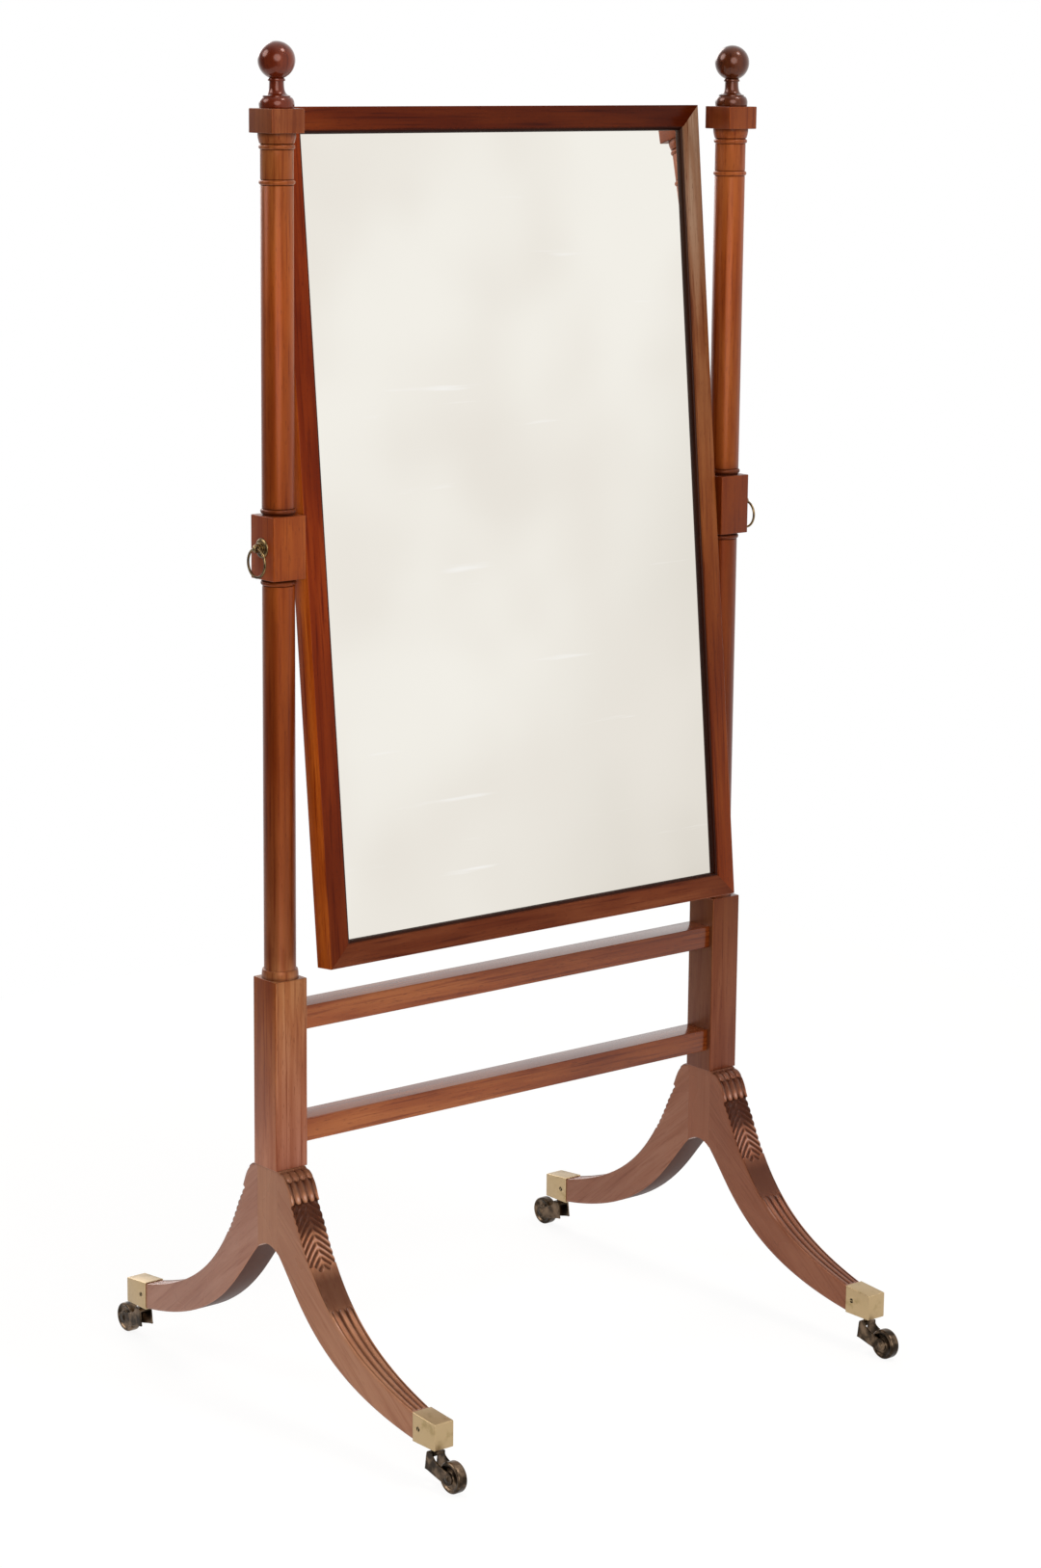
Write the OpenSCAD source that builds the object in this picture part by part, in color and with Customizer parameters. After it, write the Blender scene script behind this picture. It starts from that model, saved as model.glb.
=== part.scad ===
// Cheval mirror: a tilting dressing glass between two turned posts on sabre legs with brass casters.
// Millimetres. +Z is up, the glass faces -Y, and the origin is on the floor under the middle of the glass.
// Left is -X and right is +X as one faces the glass. Front is -Y.

/* [Posts] */
// Distance between the axes of the two posts
post_spacing = 686; // [620:1:760]
// Side of the square stick that each post is turned from
block_w = 45; // [43:0.5:50]
// Small bevel on the long edges of square timber
arris = 1; // [0.4:0.1:2]
// Diameter of the turned columns
column_d = 37.5; // [34:0.5:40]
// Height of the square block that takes the stretchers
lower_block_h = 228; // [215:1:260]
// Height of the column below the pivot block
lower_column_h = 469; // [440:1:520]
// Height of the block that the mirror hangs in
pivot_block_h = 73; // [60:1:100]
// Height of the column above the pivot block
upper_column_h = 426.5; // [390:0.5:470]
// Height of the square cap block
top_block_h = 27; // [20:0.5:36]
// Largest diameter of the moulded foot and head of a column
flare_d = 43; // [41:0.5:43]
// Height of the moulded foot and head of a column
flare_h = 12; // [10:0.5:16]
// Diameter of the thin beads on the columns
bead_d = 41; // [40:0.1:42]
// Height of the thin beads on the columns
bead_h = 6; // [4:0.5:6.5]
// How far the thin bead lies below the cap block
ring_drop = 54; // [40:0.5:80]
// How far a turned end goes on inside its square block
root_l = 2; // [1:0.5:4]

/* [Finials] */
// Diameter of the ball
ball_d = 42; // [36:0.5:46]
// Diameter of the foot of the finial
finial_foot_d = 40; // [36:0.5:43]
// Height of the foot of the finial
finial_foot_h = 14; // [10:0.5:18]
// Narrowest diameter of the neck under the ball
finial_neck_d = 16.5; // [14:0.5:20]
// Height of the neck between the foot and the ball
finial_neck_h = 20.5; // [16:0.5:24]
// Diameter of the dowel that holds the finial
dowel_d = 14; // [10:0.5:16]
// Length of that dowel
dowel_l = 22; // [14:1:26]

/* [Stretchers] */
// Depth of a stretcher, front to back
stretcher_d = 37; // [30:0.5:39]
// Height of a stretcher
stretcher_h = 28; // [24:0.5:34]
// How far the stretchers sit behind the middle of the posts
stretcher_set_back = 2; // [0:0.5:2.5]
// Height of the lower stretcher above the foot of the lower block
lower_stretcher_up = 27; // [12:1:60]
// Height of the upper stretcher above the foot of the lower block
upper_stretcher_up = 164; // [120:1:185]
// Length of a stretcher's tenon
tenon_l = 28; // [16:1:32]
// Depth of a tenon, front to back
tenon_d = 19; // [14:0.5:24]
// Height of a tenon
tenon_h = 20; // [14:0.5:22]

/* [Legs] */
// Height of the top of the legs above the floor
leg_top_z = 303; // [285:1:330]
// Thickness of a leg where it meets the post
leg_w = 39; // [34:0.5:42]
// Thickness of a leg at the toe
toe_w = 24; // [20:0.5:30]
// Distance from the post's axis to the brass cap
leg_reach = 272; // [240:1:300]
// How far the shoulder of a leg stands out from the post's axis
shoulder_out = 45; // [42:0.5:52]
// How far the shoulder lies below the top of the leg
shoulder_drop = 19; // [14:0.5:26]
// Height of the crown of the arch between two legs
arch_z = 208; // [195:1:225]
// Radius of the arch between two legs
arch_r = 30; // [26:1:40]
// Height of the underside of the toe
toe_z = 48; // [46:0.5:56]
// Height of the leg where it enters the cap
toe_h = 32; // [28:0.5:38]
// How much the top of the toe drops inside the cap
toe_fall = 3.5; // [0:0.5:7]
// Depth of the core between the two legs of a post
core_d = 40; // [36:0.5:42]
// Width of a dovetail at its root
dovetail_root = 12; // [10:0.5:14]
// Width of a dovetail at its tip
dovetail_tip = 18; // [16:0.5:22]
// How far a dovetail reaches into the core
dovetail_in = 12; // [8:0.5:14]
// How far the dovetail stops below the top of the leg
dovetail_stop = 12; // [8:1:20]

/* [Casters] */
// Length of a brass cap along the leg
cap_l = 41; // [38:0.5:50]
// Thickness of the cap's walls
cap_wall = 1.5; // [1:0.1:2.5]
// Height of the round boss under the cap
boss_h = 4; // [3:0.5:4.5]
// Diameter of that boss
boss_d = 11; // [10:0.5:14]
// Distance from the cap's outer end to the swivel pin
pin_back = 15; // [14:0.5:18]
// Diameter of the swivel pin
pin_d = 6; // [5:0.5:7]
// Diameter of the riveted head of the swivel pin
pin_head_d = 9; // [8:0.5:10]
// Diameter of a wheel
wheel_d = 37; // [33:0.5:40]
// Width of a wheel
wheel_w = 13; // [10:0.5:16]
// Space between the wheel's rim and the swivel pin's axis
wheel_behind = 13.5; // [10:0.5:16]
// Thickness of a cheek of the horn
cheek_t = 2.2; // [1.8:0.1:3]
// Diameter of the round end of a cheek
cheek_d = 16; // [12:0.5:20]
// Diameter of an axle
axle_d = 5; // [4:0.5:6]
// Diameter of an axle's riveted heads
axle_head_d = 8; // [7:0.5:10]

/* [Mirror frame] */
// Gap between the pivot block and the mirror frame
side_gap = 3.5; // [2.5:0.1:5]
// Height of the mirror frame
frame_h = 984; // [880:1:1010]
// Width of the frame's moulding, seen from the front
face_w = 30; // [28:0.5:36]
// Thickness of the frame, front to back
frame_t = 28; // [27:0.5:34]
// How far the glass lies behind the face of the frame
glass_set_back = 6.5; // [6.5:0.5:8]
// Radius of the quarter-round beside the glass
ovolo_r = 4; // [3:0.5:5]
// Thickness of the glass
glass_t = 4.5; // [3:0.1:5]
// How far the glass reaches behind the moulding
glass_cover = 6; // [5:0.5:7]
// Thickness of the packing behind the glass
packing_t = 5; // [3:0.5:5]
// Width of the packing
packing_w = 5; // [4:0.5:6]
// Thickness of the backboard
backboard_t = 8; // [6:0.5:9]
// Width of the backboard's bevelled edge
backboard_bevel = 16; // [8:1:30]
// Thickness of the frame's outer wall behind the backboard's rebate
rebate_wall = 14; // [12.5:0.5:16]
// How far the pivots lie behind the middle of the frame's thickness
pivot_back = 3; // [0:0.5:3]
// How far the top of the mirror leans back, in degrees
lean = 5.7; // [0:0.1:12]

/* [Pivot fittings] */
// Outer diameter of the brass bush in the pivot block
bush_d = 13; // [12:0.5:15]
// Diameter of the bush's domed flange
flange_d = 23; // [20:0.5:28]
// Thickness of that flange
flange_t = 2.5; // [2:0.1:2.8]
// Diameter of the clamp screw's shank
shank_d = 8; // [7:0.5:9]
// Diameter of the clamp screw's threaded end
thread_d = 6; // [5:0.5:6.5]
// Length of the thread inside the pivot plate
thread_l = 11; // [10:0.5:11.5]
// Diameter of the clamp screw's collar
collar_d = 13; // [11:0.5:16]
// Thickness of that collar
collar_t = 2; // [1:0.1:2.3]
// Distance from the pivot block's face to the eye that holds the ring, with the screw tight
eye_out = 8; // [7.5:0.5:14]
// How far the right-hand clamp screw is backed out
backed_out = 8; // [0:0.5:8]
// Diameter of the eye
eye_d = 10; // [9:0.5:10]
// Thickness of the eye
eye_t = 4.5; // [4:0.1:5]
// Diameter of the ring's wire
wire_d = 3; // [2.4:0.1:3.2]
// Mean diameter of the ring
ring_pull_d = 33; // [28:0.5:36]
// Diameter of the washer between the block and the frame
washer_d = 15; // [13:0.5:18]
// Height of the pivot plate
plate_h = 56; // [50:1:70]
// Depth of the pivot plate, front to back
plate_d = 18; // [16:0.5:20]
// Thickness of the pivot plate
plate_t = 2.5; // [2:0.1:3]
// Outer diameter of the plate's threaded socket
socket_d = 10; // [9:0.5:11]
// Distance between the two screws of a pivot plate
plate_screw_gap = 38; // [32:0.5:40]

/* [Screws] */
// Diameter of a wood screw's head
screw_head_d = 6; // [5:0.2:6.4]
// Diameter of a wood screw's shank
screw_d = 3; // [2.4:0.2:3.4]
// Length of the screws that hold the backboard
screw_l = 14; // [11:0.5:15]
// Length of the screws that hold the pivot plates
plate_screw_l = 11; // [8:0.5:12]
// Length of the screws that hold the brass caps
cap_screw_l = 9; // [6:0.5:10]
// Largest distance between two screws of the backboard
screw_pitch = 260; // [180:5:400]
// Distance from the end of a row of screws to the first screw
screw_inset = 40; // [25:1:60]

/* [Clearances] */
// Space on each side of a tenon, dovetail or dowel
joint_gap = 0.15; // [0.1:0.05:0.25]
// Space round a turning pin
running_gap = 0.05; // [0.03:0.01:0.1]
// Space between faces that slide or turn past each other
face_gap = 0.2; // [0.1:0.05:0.3]
// Space between a wheel and each cheek
wheel_gap = 0.6; // [0.4:0.1:1]
// Space round the glass in its rebate
glass_gap = 1; // [0.5:0.1:1.2]

/* [Hidden] */

mahogany = "#7d3f24";
brass = "#c9b06a";
old_brass = "#5f4a3c";
$fn = 72;

left = -1;
right = 1;
front = -1;
back = 1;
eps = 0.01;

// Heights of the post's blocks, each stacked on the one below
lower_block_top = leg_top_z + lower_block_h;
pivot_block_z = lower_block_top + lower_column_h;
pivot_z = pivot_block_z + pivot_block_h / 2;
pivot_block_top = pivot_block_z + pivot_block_h;
top_block_z = pivot_block_top + upper_column_h;
top_block_top = top_block_z + top_block_h;
ring_z = top_block_z - ring_drop;

// Sizes of the frame between the posts
frame_w = post_spacing - block_w - 2 * side_gap;
rebate_w = face_w - glass_cover - glass_gap;
board_depth = glass_set_back + glass_t + packing_t;

// Places in a caster, measured outwards from the post's axis
cap_start = leg_reach;
cap_end = cap_start + cap_l;
swivel_y = cap_end - pin_back;
axle_y = swivel_y + wheel_behind + wheel_d / 2;
cap_bottom = toe_z - cap_wall;
boss_bottom = cap_bottom - boss_h;
axle_z = wheel_d / 2;
fork_w = wheel_w + 2 * wheel_gap;
horn_w = fork_w + 2 * cheek_t;

function arc_points(centre, r, from, to, n) =
  [for (i = [0 : n]) centre + r * [cos(from + (to - from) * i / n), sin(from + (to - from) * i / n)]];

function curve_points(a, b, c, d, n) =
  [for (i = [0 : n]) let (t = i / n, u = 1 - t) u * u * u * a + 3 * u * u * t * b + 3 * u * t * t * c + t * t * t * d];

function flipped(points) = [for (i = [len(points) - 1 : -1 : 0]) points[i]];

// A point between two corners, with its own share of the way in each direction
function between(a, b, share) = [a[0] + (b[0] - a[0]) * share[0], a[1] + (b[1] - a[1]) * share[1]];

// Square timber with bevelled long edges, along Z
module square_stick(side, h) {
  s = side / 2;
  linear_extrude(height = h)
    polygon([
      [s, -s + arris], [s, s - arris], [s - arris, s], [-s + arris, s],
      [-s, s - arris], [-s, -s + arris], [-s + arris, -s], [s - arris, -s]
    ]);
}

// Rectangular timber with bevelled long edges, along X and centred
module rail_stick(l, d, h) {
  rotate([90, 0, 90])
    translate([0, 0, -l / 2])
      linear_extrude(height = l)
        polygon([
          [d / 2, -h / 2 + arris], [d / 2, h / 2 - arris], [d / 2 - arris, h / 2], [-d / 2 + arris, h / 2],
          [-d / 2, h / 2 - arris], [-d / 2, -h / 2 + arris], [-d / 2 + arris, -h / 2], [d / 2 - arris, -h / 2]
        ]);
}

module box(x, y, z) {
  translate([x[0], y[0], z[0]]) cube([x[1] - x[0], y[1] - y[0], z[1] - z[0]]);
}

// A cylinder along X from one place to another
module rod_x(d, from, to) {
  translate([from, 0, 0]) rotate([0, 90, 0]) cylinder(d = d, h = to - from);
}

// A countersunk wood screw along -Z, its flat head's face at the origin
module wood_screw(l) {
  head_h = (screw_head_d - screw_d) / 2;
  rotate_extrude()
    polygon([
      [0, 0], [screw_head_d / 2, 0], [screw_head_d / 2, -0.4], [screw_d / 2, -0.4 - head_h],
      [screw_d / 2, -l + screw_d], [0.2, -l], [0, -l]
    ]);
}

// The hole that such a screw fills
module screw_hole(l) {
  head_h = (screw_head_d - screw_d) / 2;
  g = running_gap;
  rotate_extrude()
    polygon([
      [0, 4], [screw_head_d / 2 + g, 4], [screw_head_d / 2 + g, -0.4 - g], [screw_d / 2 + g, -0.4 - g - head_h],
      [screw_d / 2 + g, -l - g], [0, -l - g]
    ]);
}

module at_post(side) {
  translate([side * post_spacing / 2, 0, 0]) children();
}

// Puts a leg or caster, which is drawn pointing to +Y, on its side of the object
module at_leg(side, end) {
  at_post(side) rotate([0, 0, end == back ? 0 : 180]) children();
}

// A round bead whose middle is at height z
function bead(z) = arc_points([(bead_d - bead_h) / 2, z], bead_h / 2, -80, 80, 8);

// Moulded foot of a column: a swelling that leans in towards the shaft, then a thin groove. Each
// turned end goes on for a little inside its block, so that the post stays one stick at any size.
function foot_flare(z) = concat(
  [[0, z - root_l], [flare_d / 2, z - root_l]],
  curve_points(
    [flare_d / 2, z + 2.5], [flare_d / 2, z + 0.6 * flare_h],
    [bead_d / 2 + 0.5, z + flare_h - 3], [bead_d / 2, z + flare_h - 1.5], 8),
  [[column_d / 2, z + flare_h]]
);

// Moulded head of a column: a bead, a groove, then a swelling that leans out to the block
function head_flare(z) = concat(
  bead(z - flare_h - bead_h / 2),
  curve_points(
    [bead_d / 2 - 0.8, z - flare_h + 1], [bead_d / 2 + 0.2, z - 0.6 * flare_h],
    [flare_d / 2, z - 5], [flare_d / 2, z - 2], 8),
  [[flare_d / 2, z + root_l], [0, z + root_l]]
);

// Where a column meets the pivot block there is only a bead and a groove
function foot_bead(z) =
  concat([[0, z - root_l], [column_d / 2 - 0.8, z - root_l]], bead(z + 1.5 + bead_h / 2));
function head_bead(z) =
  concat(bead(z - 1.5 - bead_h / 2), [[column_d / 2 - 0.8, z + root_l], [0, z + root_l]]);

module lower_column() {
  rotate_extrude()
    polygon(concat(
      foot_flare(lower_block_top),
      [[column_d / 2, pivot_block_z - 2 - bead_h]],
      head_bead(pivot_block_z)
    ));
}

module upper_column() {
  rotate_extrude()
    polygon(concat(
      foot_bead(pivot_block_top),
      [[column_d / 2, pivot_block_top + 2 + bead_h], [column_d / 2, ring_z - bead_h / 2]],
      bead(ring_z),
      [[column_d / 2, ring_z + bead_h / 2], [column_d / 2, top_block_z - flare_h - bead_h]],
      head_flare(top_block_z)
    ));
}

// Outline of the core between the legs, seen from the side
module core_outline() {
  translate([-core_d / 2, arch_z - arch_r]) square([core_d, leg_top_z - arch_z + arch_r + root_l]);
}

// Extrudes an outline in the Y-Z plane to a width along X
module side_cut(w) {
  rotate([90, 0, 90]) translate([0, 0, -w / 2]) linear_extrude(height = w) children();
}

// The round space under the core, between the two legs of a post
module arch(grow) {
  translate([0, 0, arch_z - arch_r]) rod_x(2 * (arch_r + grow), -leg_w, leg_w);
}

// Outline of a dovetail from above; it grows by the gap for the housing
module dovetail_outline(gap) {
  polygon([
    [-dovetail_root / 2 - gap, core_d / 2 + 1], [dovetail_root / 2 + gap, core_d / 2 + 1],
    [dovetail_tip / 2 + gap, core_d / 2 - dovetail_in - gap],
    [-dovetail_tip / 2 - gap, core_d / 2 - dovetail_in - gap]
  ]);
}

module dovetail(gap) {
  foot = arch_z - arch_r;
  translate([0, 0, foot]) linear_extrude(height = leg_top_z - dovetail_stop + gap - foot) dovetail_outline(gap);
}

module tenons_of(up, gap) {
  for (side = [left, right])
    translate([side * (post_spacing / 2 - block_w / 2), stretcher_set_back, leg_top_z + up + stretcher_h / 2])
      translate([side > 0 ? -1 : -tenon_l - gap, -tenon_d / 2 - gap, -tenon_h / 2 - gap])
        cube([tenon_l + gap + 1, tenon_d + 2 * gap, tenon_h + 2 * gap]);
}

module post(side) {
  color(mahogany)
    difference() {
      union() {
        at_post(side) {
          translate([0, 0, leg_top_z]) square_stick(block_w, lower_block_h);
          lower_column();
          translate([0, 0, pivot_block_z]) square_stick(block_w, pivot_block_h);
          upper_column();
          translate([0, 0, top_block_z]) square_stick(block_w, top_block_h);
          side_cut(leg_w) core_outline();
        }
      }
      tenons_of(lower_stretcher_up, joint_gap);
      tenons_of(upper_stretcher_up, joint_gap);
      at_post(side) {
        arch(0);
        dovetail(joint_gap);
        rotate([0, 0, 180]) dovetail(joint_gap);
        translate([0, 0, pivot_z]) rod_x(bush_d, -block_w, block_w);
        translate([0, 0, top_block_top - dowel_l - 1]) cylinder(d = dowel_d + 2 * joint_gap, h = dowel_l + 2);
      }
    }
}

// The ball, its neck, its moulded foot and the dowel below, turned from one piece
module finial(side) {
  foot_top = top_block_top + finial_foot_h;
  ball_z = foot_top + finial_neck_h + ball_d / 2 - 3;
  neck_r = finial_neck_d / 2;
  foot_r = finial_foot_d / 2;
  neck_z = ball_z - sqrt(ball_d * ball_d / 4 - neck_r * neck_r);
  color(mahogany)
    at_post(side)
      rotate_extrude()
        polygon(concat(
          [[0, top_block_top - dowel_l], [dowel_d / 2 - 1, top_block_top - dowel_l]],
          [[dowel_d / 2, top_block_top - dowel_l + 1], [dowel_d / 2, top_block_top], [foot_r - 1, top_block_top]],
          curve_points(
            [foot_r - 0.6, top_block_top + 0.5], [foot_r + 0.4, top_block_top + 4],
            [foot_r + 0.2, foot_top - 5], [foot_r - 3, foot_top - 2], 8),
          [[foot_r - 4.5, foot_top - 2], [foot_r - 4.5, foot_top]],
          curve_points(
            [foot_r - 5.5, foot_top], [neck_r + 1.5, foot_top + 1.5],
            [neck_r, foot_top + 5], [neck_r, neck_z - 3.5], 10),
          [[neck_r + 1.6, neck_z - 3.2], [neck_r + 1.6, neck_z - 1]],
          arc_points([0, ball_z], ball_d / 2, -acos(neck_r / (ball_d / 2)), 90, 28)
        ));
}

module stretcher(up) {
  color(mahogany)
    union() {
      translate([0, stretcher_set_back, leg_top_z + up + stretcher_h / 2])
        rail_stick(post_spacing - block_w, stretcher_d, stretcher_h);
      tenons_of(up, 0);
    }
}

// Height of the top of the toe, which falls evenly inside the cap
function toe_top(y) = toe_z + toe_h - toe_fall * (y - leg_reach) / cap_l;

// Outline of a leg from the side, pointing to +Y
upper_bend = [[0.19, 0.56], [0.41, 0.83]];
under_bend = [[0.18, 0.31], [0.30, 0.81]];
leg_steps = 24;
module leg_outline() {
  shoulder = [shoulder_out, leg_top_z - shoulder_drop];
  toe_upper = [leg_reach, toe_z + toe_h];
  heel = [core_d / 2, arch_z - arch_r + sqrt(arch_r * arch_r - core_d * core_d / 4)];
  toe_under = [leg_reach, toe_z];
  toe_end = cap_end - cap_wall - joint_gap;
  polygon(concat(
    [[core_d / 2, leg_top_z]],
    curve_points(
      [block_w / 2 + 1, leg_top_z], between([block_w / 2, leg_top_z], shoulder, [0.5, 0.05]),
      between([block_w / 2, leg_top_z], shoulder, [0.78, 0.3]), shoulder, 6),
    curve_points(
      shoulder, between(shoulder, toe_upper, upper_bend[0]), between(shoulder, toe_upper, upper_bend[1]),
      toe_upper, leg_steps),
    [[toe_end, toe_top(toe_end)], [toe_end, toe_z]],
    flipped(curve_points(
      heel, between(heel, toe_under, under_bend[0]), between(heel, toe_under, under_bend[1]),
      toe_under, leg_steps))
  ));
}

// Thickness of the leg, seen from above: even at the post, then narrowing to the toe
taper_start = 60;
module leg_plan() {
  far = cap_end + 10;
  polygon([
    [-leg_w / 2, 0], [leg_w / 2, 0], [leg_w / 2, taper_start], [toe_w / 2, leg_reach], [toe_w / 2, far],
    [-toe_w / 2, far], [-toe_w / 2, leg_reach], [-leg_w / 2, taper_start]
  ]);
}

module leg(side, end) {
  color(mahogany)
    at_leg(side, end)
      difference() {
        union() {
          intersection() {
            side_cut(leg_w) leg_outline();
            linear_extrude(height = leg_top_z) leg_plan();
          }
          difference() {
            dovetail(0);
            arch(-eps);
          }
        }
        translate([0, swivel_y, toe_z - 1]) cylinder(d = pin_head_d + 2, h = 9);
        toe_cap_screw_places() screw_hole(cap_screw_l);
      }
}

// One screw through each side of the cap, at half its height
module toe_cap_screw_places() {
  for (turn = [-90, 90])
    translate([turn / 90 * (toe_w / 2 + cap_wall), cap_start + cap_l / 4, toe_z + toe_h / 2])
      rotate([0, turn, 0]) children();
}

// Side outline of the toe, grown by the same amount all round
module toe_outline(grow, from, to) {
  polygon([
    [from, toe_z - grow], [to, toe_z - grow], [to, toe_top(to) + grow], [from, toe_top(from) + grow]
  ]);
}

module toe_cap(side, end) {
  color(brass)
    at_leg(side, end)
      difference() {
        union() {
          side_cut(toe_w + 2 * cap_wall) toe_outline(cap_wall, cap_start, cap_end);
          translate([0, swivel_y, boss_bottom]) cylinder(d = boss_d, h = boss_h + cap_wall / 2);
        }
        side_cut(toe_w + 2 * joint_gap) toe_outline(joint_gap, cap_start - 1, cap_end - cap_wall);
        translate([0, swivel_y, boss_bottom - 1]) cylinder(d = pin_d + 2 * running_gap, h = boss_h + cap_wall + 2);
        toe_cap_screw_places() screw_hole(cap_screw_l);
      }
}

module toe_cap_screws() {
  color(brass)
    for (side = [left, right], end = [front, back])
      at_leg(side, end) toe_cap_screw_places() wood_screw(cap_screw_l);
}

// The horn: a swivel pin with a riveted head, a round shoulder, and two curved cheeks beside the wheel
crown_t = 4;
crown_half = 5.5;
module cheek_outline() {
  top = boss_bottom - face_gap - 2;
  y = swivel_y;
  spur = [y - 9, axle_z];
  polygon(concat(
    [[y + crown_half, top], [y - crown_half + 1, top]],
    curve_points(
      [y - crown_half, top - 1], [y - crown_half - 2, top - 8],
      [y - crown_half - 2, axle_z + 4], spur, 8),
    curve_points(
      spur + [0.8, -0.5], [y - 4, axle_z],
      [axle_y - cheek_d, axle_z - cheek_d / 2 + 1], [axle_y - cheek_d / 4, axle_z - cheek_d / 2 + 0.4], 10),
    [[axle_y, axle_z]],
    curve_points(
      [axle_y - 1, axle_z + cheek_d / 2 - 0.1], [axle_y - cheek_d / 2 - 2, axle_z + cheek_d / 2 + 1],
      [y + crown_half + 2, top - 9], [y + crown_half, top - crown_t], 8)
  ));
  translate([axle_y, axle_z]) circle(d = cheek_d);
}

module horn(side, end) {
  top = boss_bottom - face_gap;
  pin_top = toe_z + face_gap;
  color(brass)
    at_leg(side, end)
      difference() {
        union() {
          difference() {
            side_cut(horn_w) cheek_outline();
            box([-fork_w / 2, fork_w / 2], [swivel_y - 2 * crown_half, axle_y + wheel_d], [-1, top - 2 - crown_t]);
          }
          translate([0, swivel_y, top - 2]) cylinder(d = boss_d - 1, h = 2);
          translate([0, swivel_y, top - 3]) cylinder(d = pin_d, h = pin_top - top + 3);
          translate([0, swivel_y, pin_top]) cylinder(d1 = pin_head_d, d2 = pin_head_d - 3, h = 1.6);
        }
        translate([0, axle_y, axle_z]) rod_x(axle_d, -horn_w, horn_w);
      }
}

module axle(side, end) {
  half = horn_w / 2;
  color(brass)
    at_leg(side, end)
      translate([0, axle_y, axle_z])
        rotate([0, 90, 0])
          rotate_extrude()
            polygon([
              [0, -half - 1.2], [axle_head_d / 2 - 1, -half - 1.2], [axle_head_d / 2, -half - 0.5],
              [axle_head_d / 2, -half], [axle_d / 2, -half], [axle_d / 2, half], [axle_head_d / 2, half],
              [axle_head_d / 2, half + 0.5], [axle_head_d / 2 - 1, half + 1.2], [0, half + 1.2]
            ]);
}

// A cast wheel with a rounded tread and dished sides
module wheel(side, end) {
  r = wheel_d / 2;
  w = wheel_w / 2;
  bore = axle_d / 2 + running_gap;
  hub = cheek_d / 2;
  color(old_brass)
    at_leg(side, end)
      translate([0, axle_y, axle_z])
        rotate([0, 90, 0])
          rotate_extrude()
            polygon(concat(
              [[bore, -w], [hub - 1, -w], [hub, -w + 1], [r - 4, -w + 1], [r - 3.4, -w]],
              arc_points([r - 2.5, -w + 2.5], 2.5, -90, -15, 6),
              [[r, -w + 4], [r, w - 4]],
              arc_points([r - 2.5, w - 2.5], 2.5, 15, 90, 6),
              [[r - 3.4, w], [r - 4, w - 1], [hub, w - 1], [hub - 1, w], [bore, w]]
            ));
}

// The mirror's own frame of reference: its pivot axis at the origin, leaning back at rest
module on_mirror() {
  translate([0, 0, pivot_z]) rotate([-lean, 0, 0]) translate([0, -pivot_back, 0]) children();
}

// Section of the frame: inwards from the outer edge, and back from the front face
module moulding_section() {
  ovolo_top = 1;
  polygon(concat(
    [[arris, 0], [face_w - ovolo_r, 0]],
    arc_points([face_w - ovolo_r, ovolo_top + ovolo_r], ovolo_r, -90, 0, 8),
    [
      [face_w, glass_set_back], [rebate_w, glass_set_back], [rebate_w, board_depth],
      [rebate_wall, board_depth], [rebate_wall, frame_t], [arris, frame_t], [0, frame_t - arris], [0, arris]
    ]
  ));
}

// A mitred length of moulding along X, its outer edge at Z = 0 and its inner edge below
module moulding(l) {
  intersection() {
    translate([-l / 2, -frame_t / 2, 0])
      rotate([0, 90, 0])
        linear_extrude(height = l) moulding_section();
    rotate([90, 0, 0])
      linear_extrude(height = 2 * frame_t, center = true)
        polygon([[-l / 2, 0], [l / 2, 0], [l / 2 - face_w, -face_w], [-l / 2 + face_w, -face_w]]);
  }
}

module backboard_holes() {
  backboard_screw_places() screw_hole(screw_l);
}

module top_rail() {
  color(mahogany)
    on_mirror()
      difference() {
        translate([0, 0, frame_h / 2]) moulding(frame_w);
        backboard_holes();
      }
}

module bottom_rail() {
  color(mahogany)
    on_mirror()
      difference() {
        rotate([0, 180, 0]) translate([0, 0, frame_h / 2]) moulding(frame_w);
        backboard_holes();
      }
}

module stile(side) {
  color(mahogany)
    on_mirror()
      difference() {
        rotate([0, side * 90, 0]) translate([0, 0, frame_w / 2]) moulding(frame_h);
        backboard_holes();
        pivot_plate_places(side) {
          translate([0, 0, -plate_t]) plate_blank(plate_t + 1, joint_gap);
          translate([0, 0, -socket_l - joint_gap]) cylinder(d = socket_d + 2 * joint_gap, h = socket_l + 1);
          plate_screw_places() screw_hole(plate_screw_l);
        }
      }
}

glass_w = frame_w - 2 * rebate_w - 2 * glass_gap;
glass_h = frame_h - 2 * rebate_w - 2 * glass_gap;
module mirror_glass() {
  y = -frame_t / 2 + glass_set_back;
  color("#dfe2dc")
    on_mirror()
      box([-glass_w / 2, glass_w / 2], [y, y + glass_t], [-glass_h / 2, glass_h / 2]);
}

// Short softwood blocks that hold the glass against the moulding
block_l = 60;
module glazing_blocks() {
  y = -frame_t / 2 + glass_set_back + glass_t;
  x_in = glass_w / 2 - packing_w - 1;
  z_in = glass_h / 2 - packing_w - 1;
  color("#b98d5a")
    on_mirror() {
      for (i = [-2 : 2], side = [left, right])
        translate([side * (x_in + packing_w / 2), y + packing_t / 2, i * glass_h / 5])
          cube([packing_w, packing_t, block_l], center = true);
      for (i = [-1 : 1], up = [-1, 1])
        translate([i * glass_w / 3.4, y + packing_t / 2, up * (z_in + packing_w / 2)])
          cube([block_l, packing_t, packing_w], center = true);
    }
}

board_w = frame_w - 2 * rebate_wall - 2 * joint_gap;
board_h = frame_h - 2 * rebate_wall - 2 * joint_gap;
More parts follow.
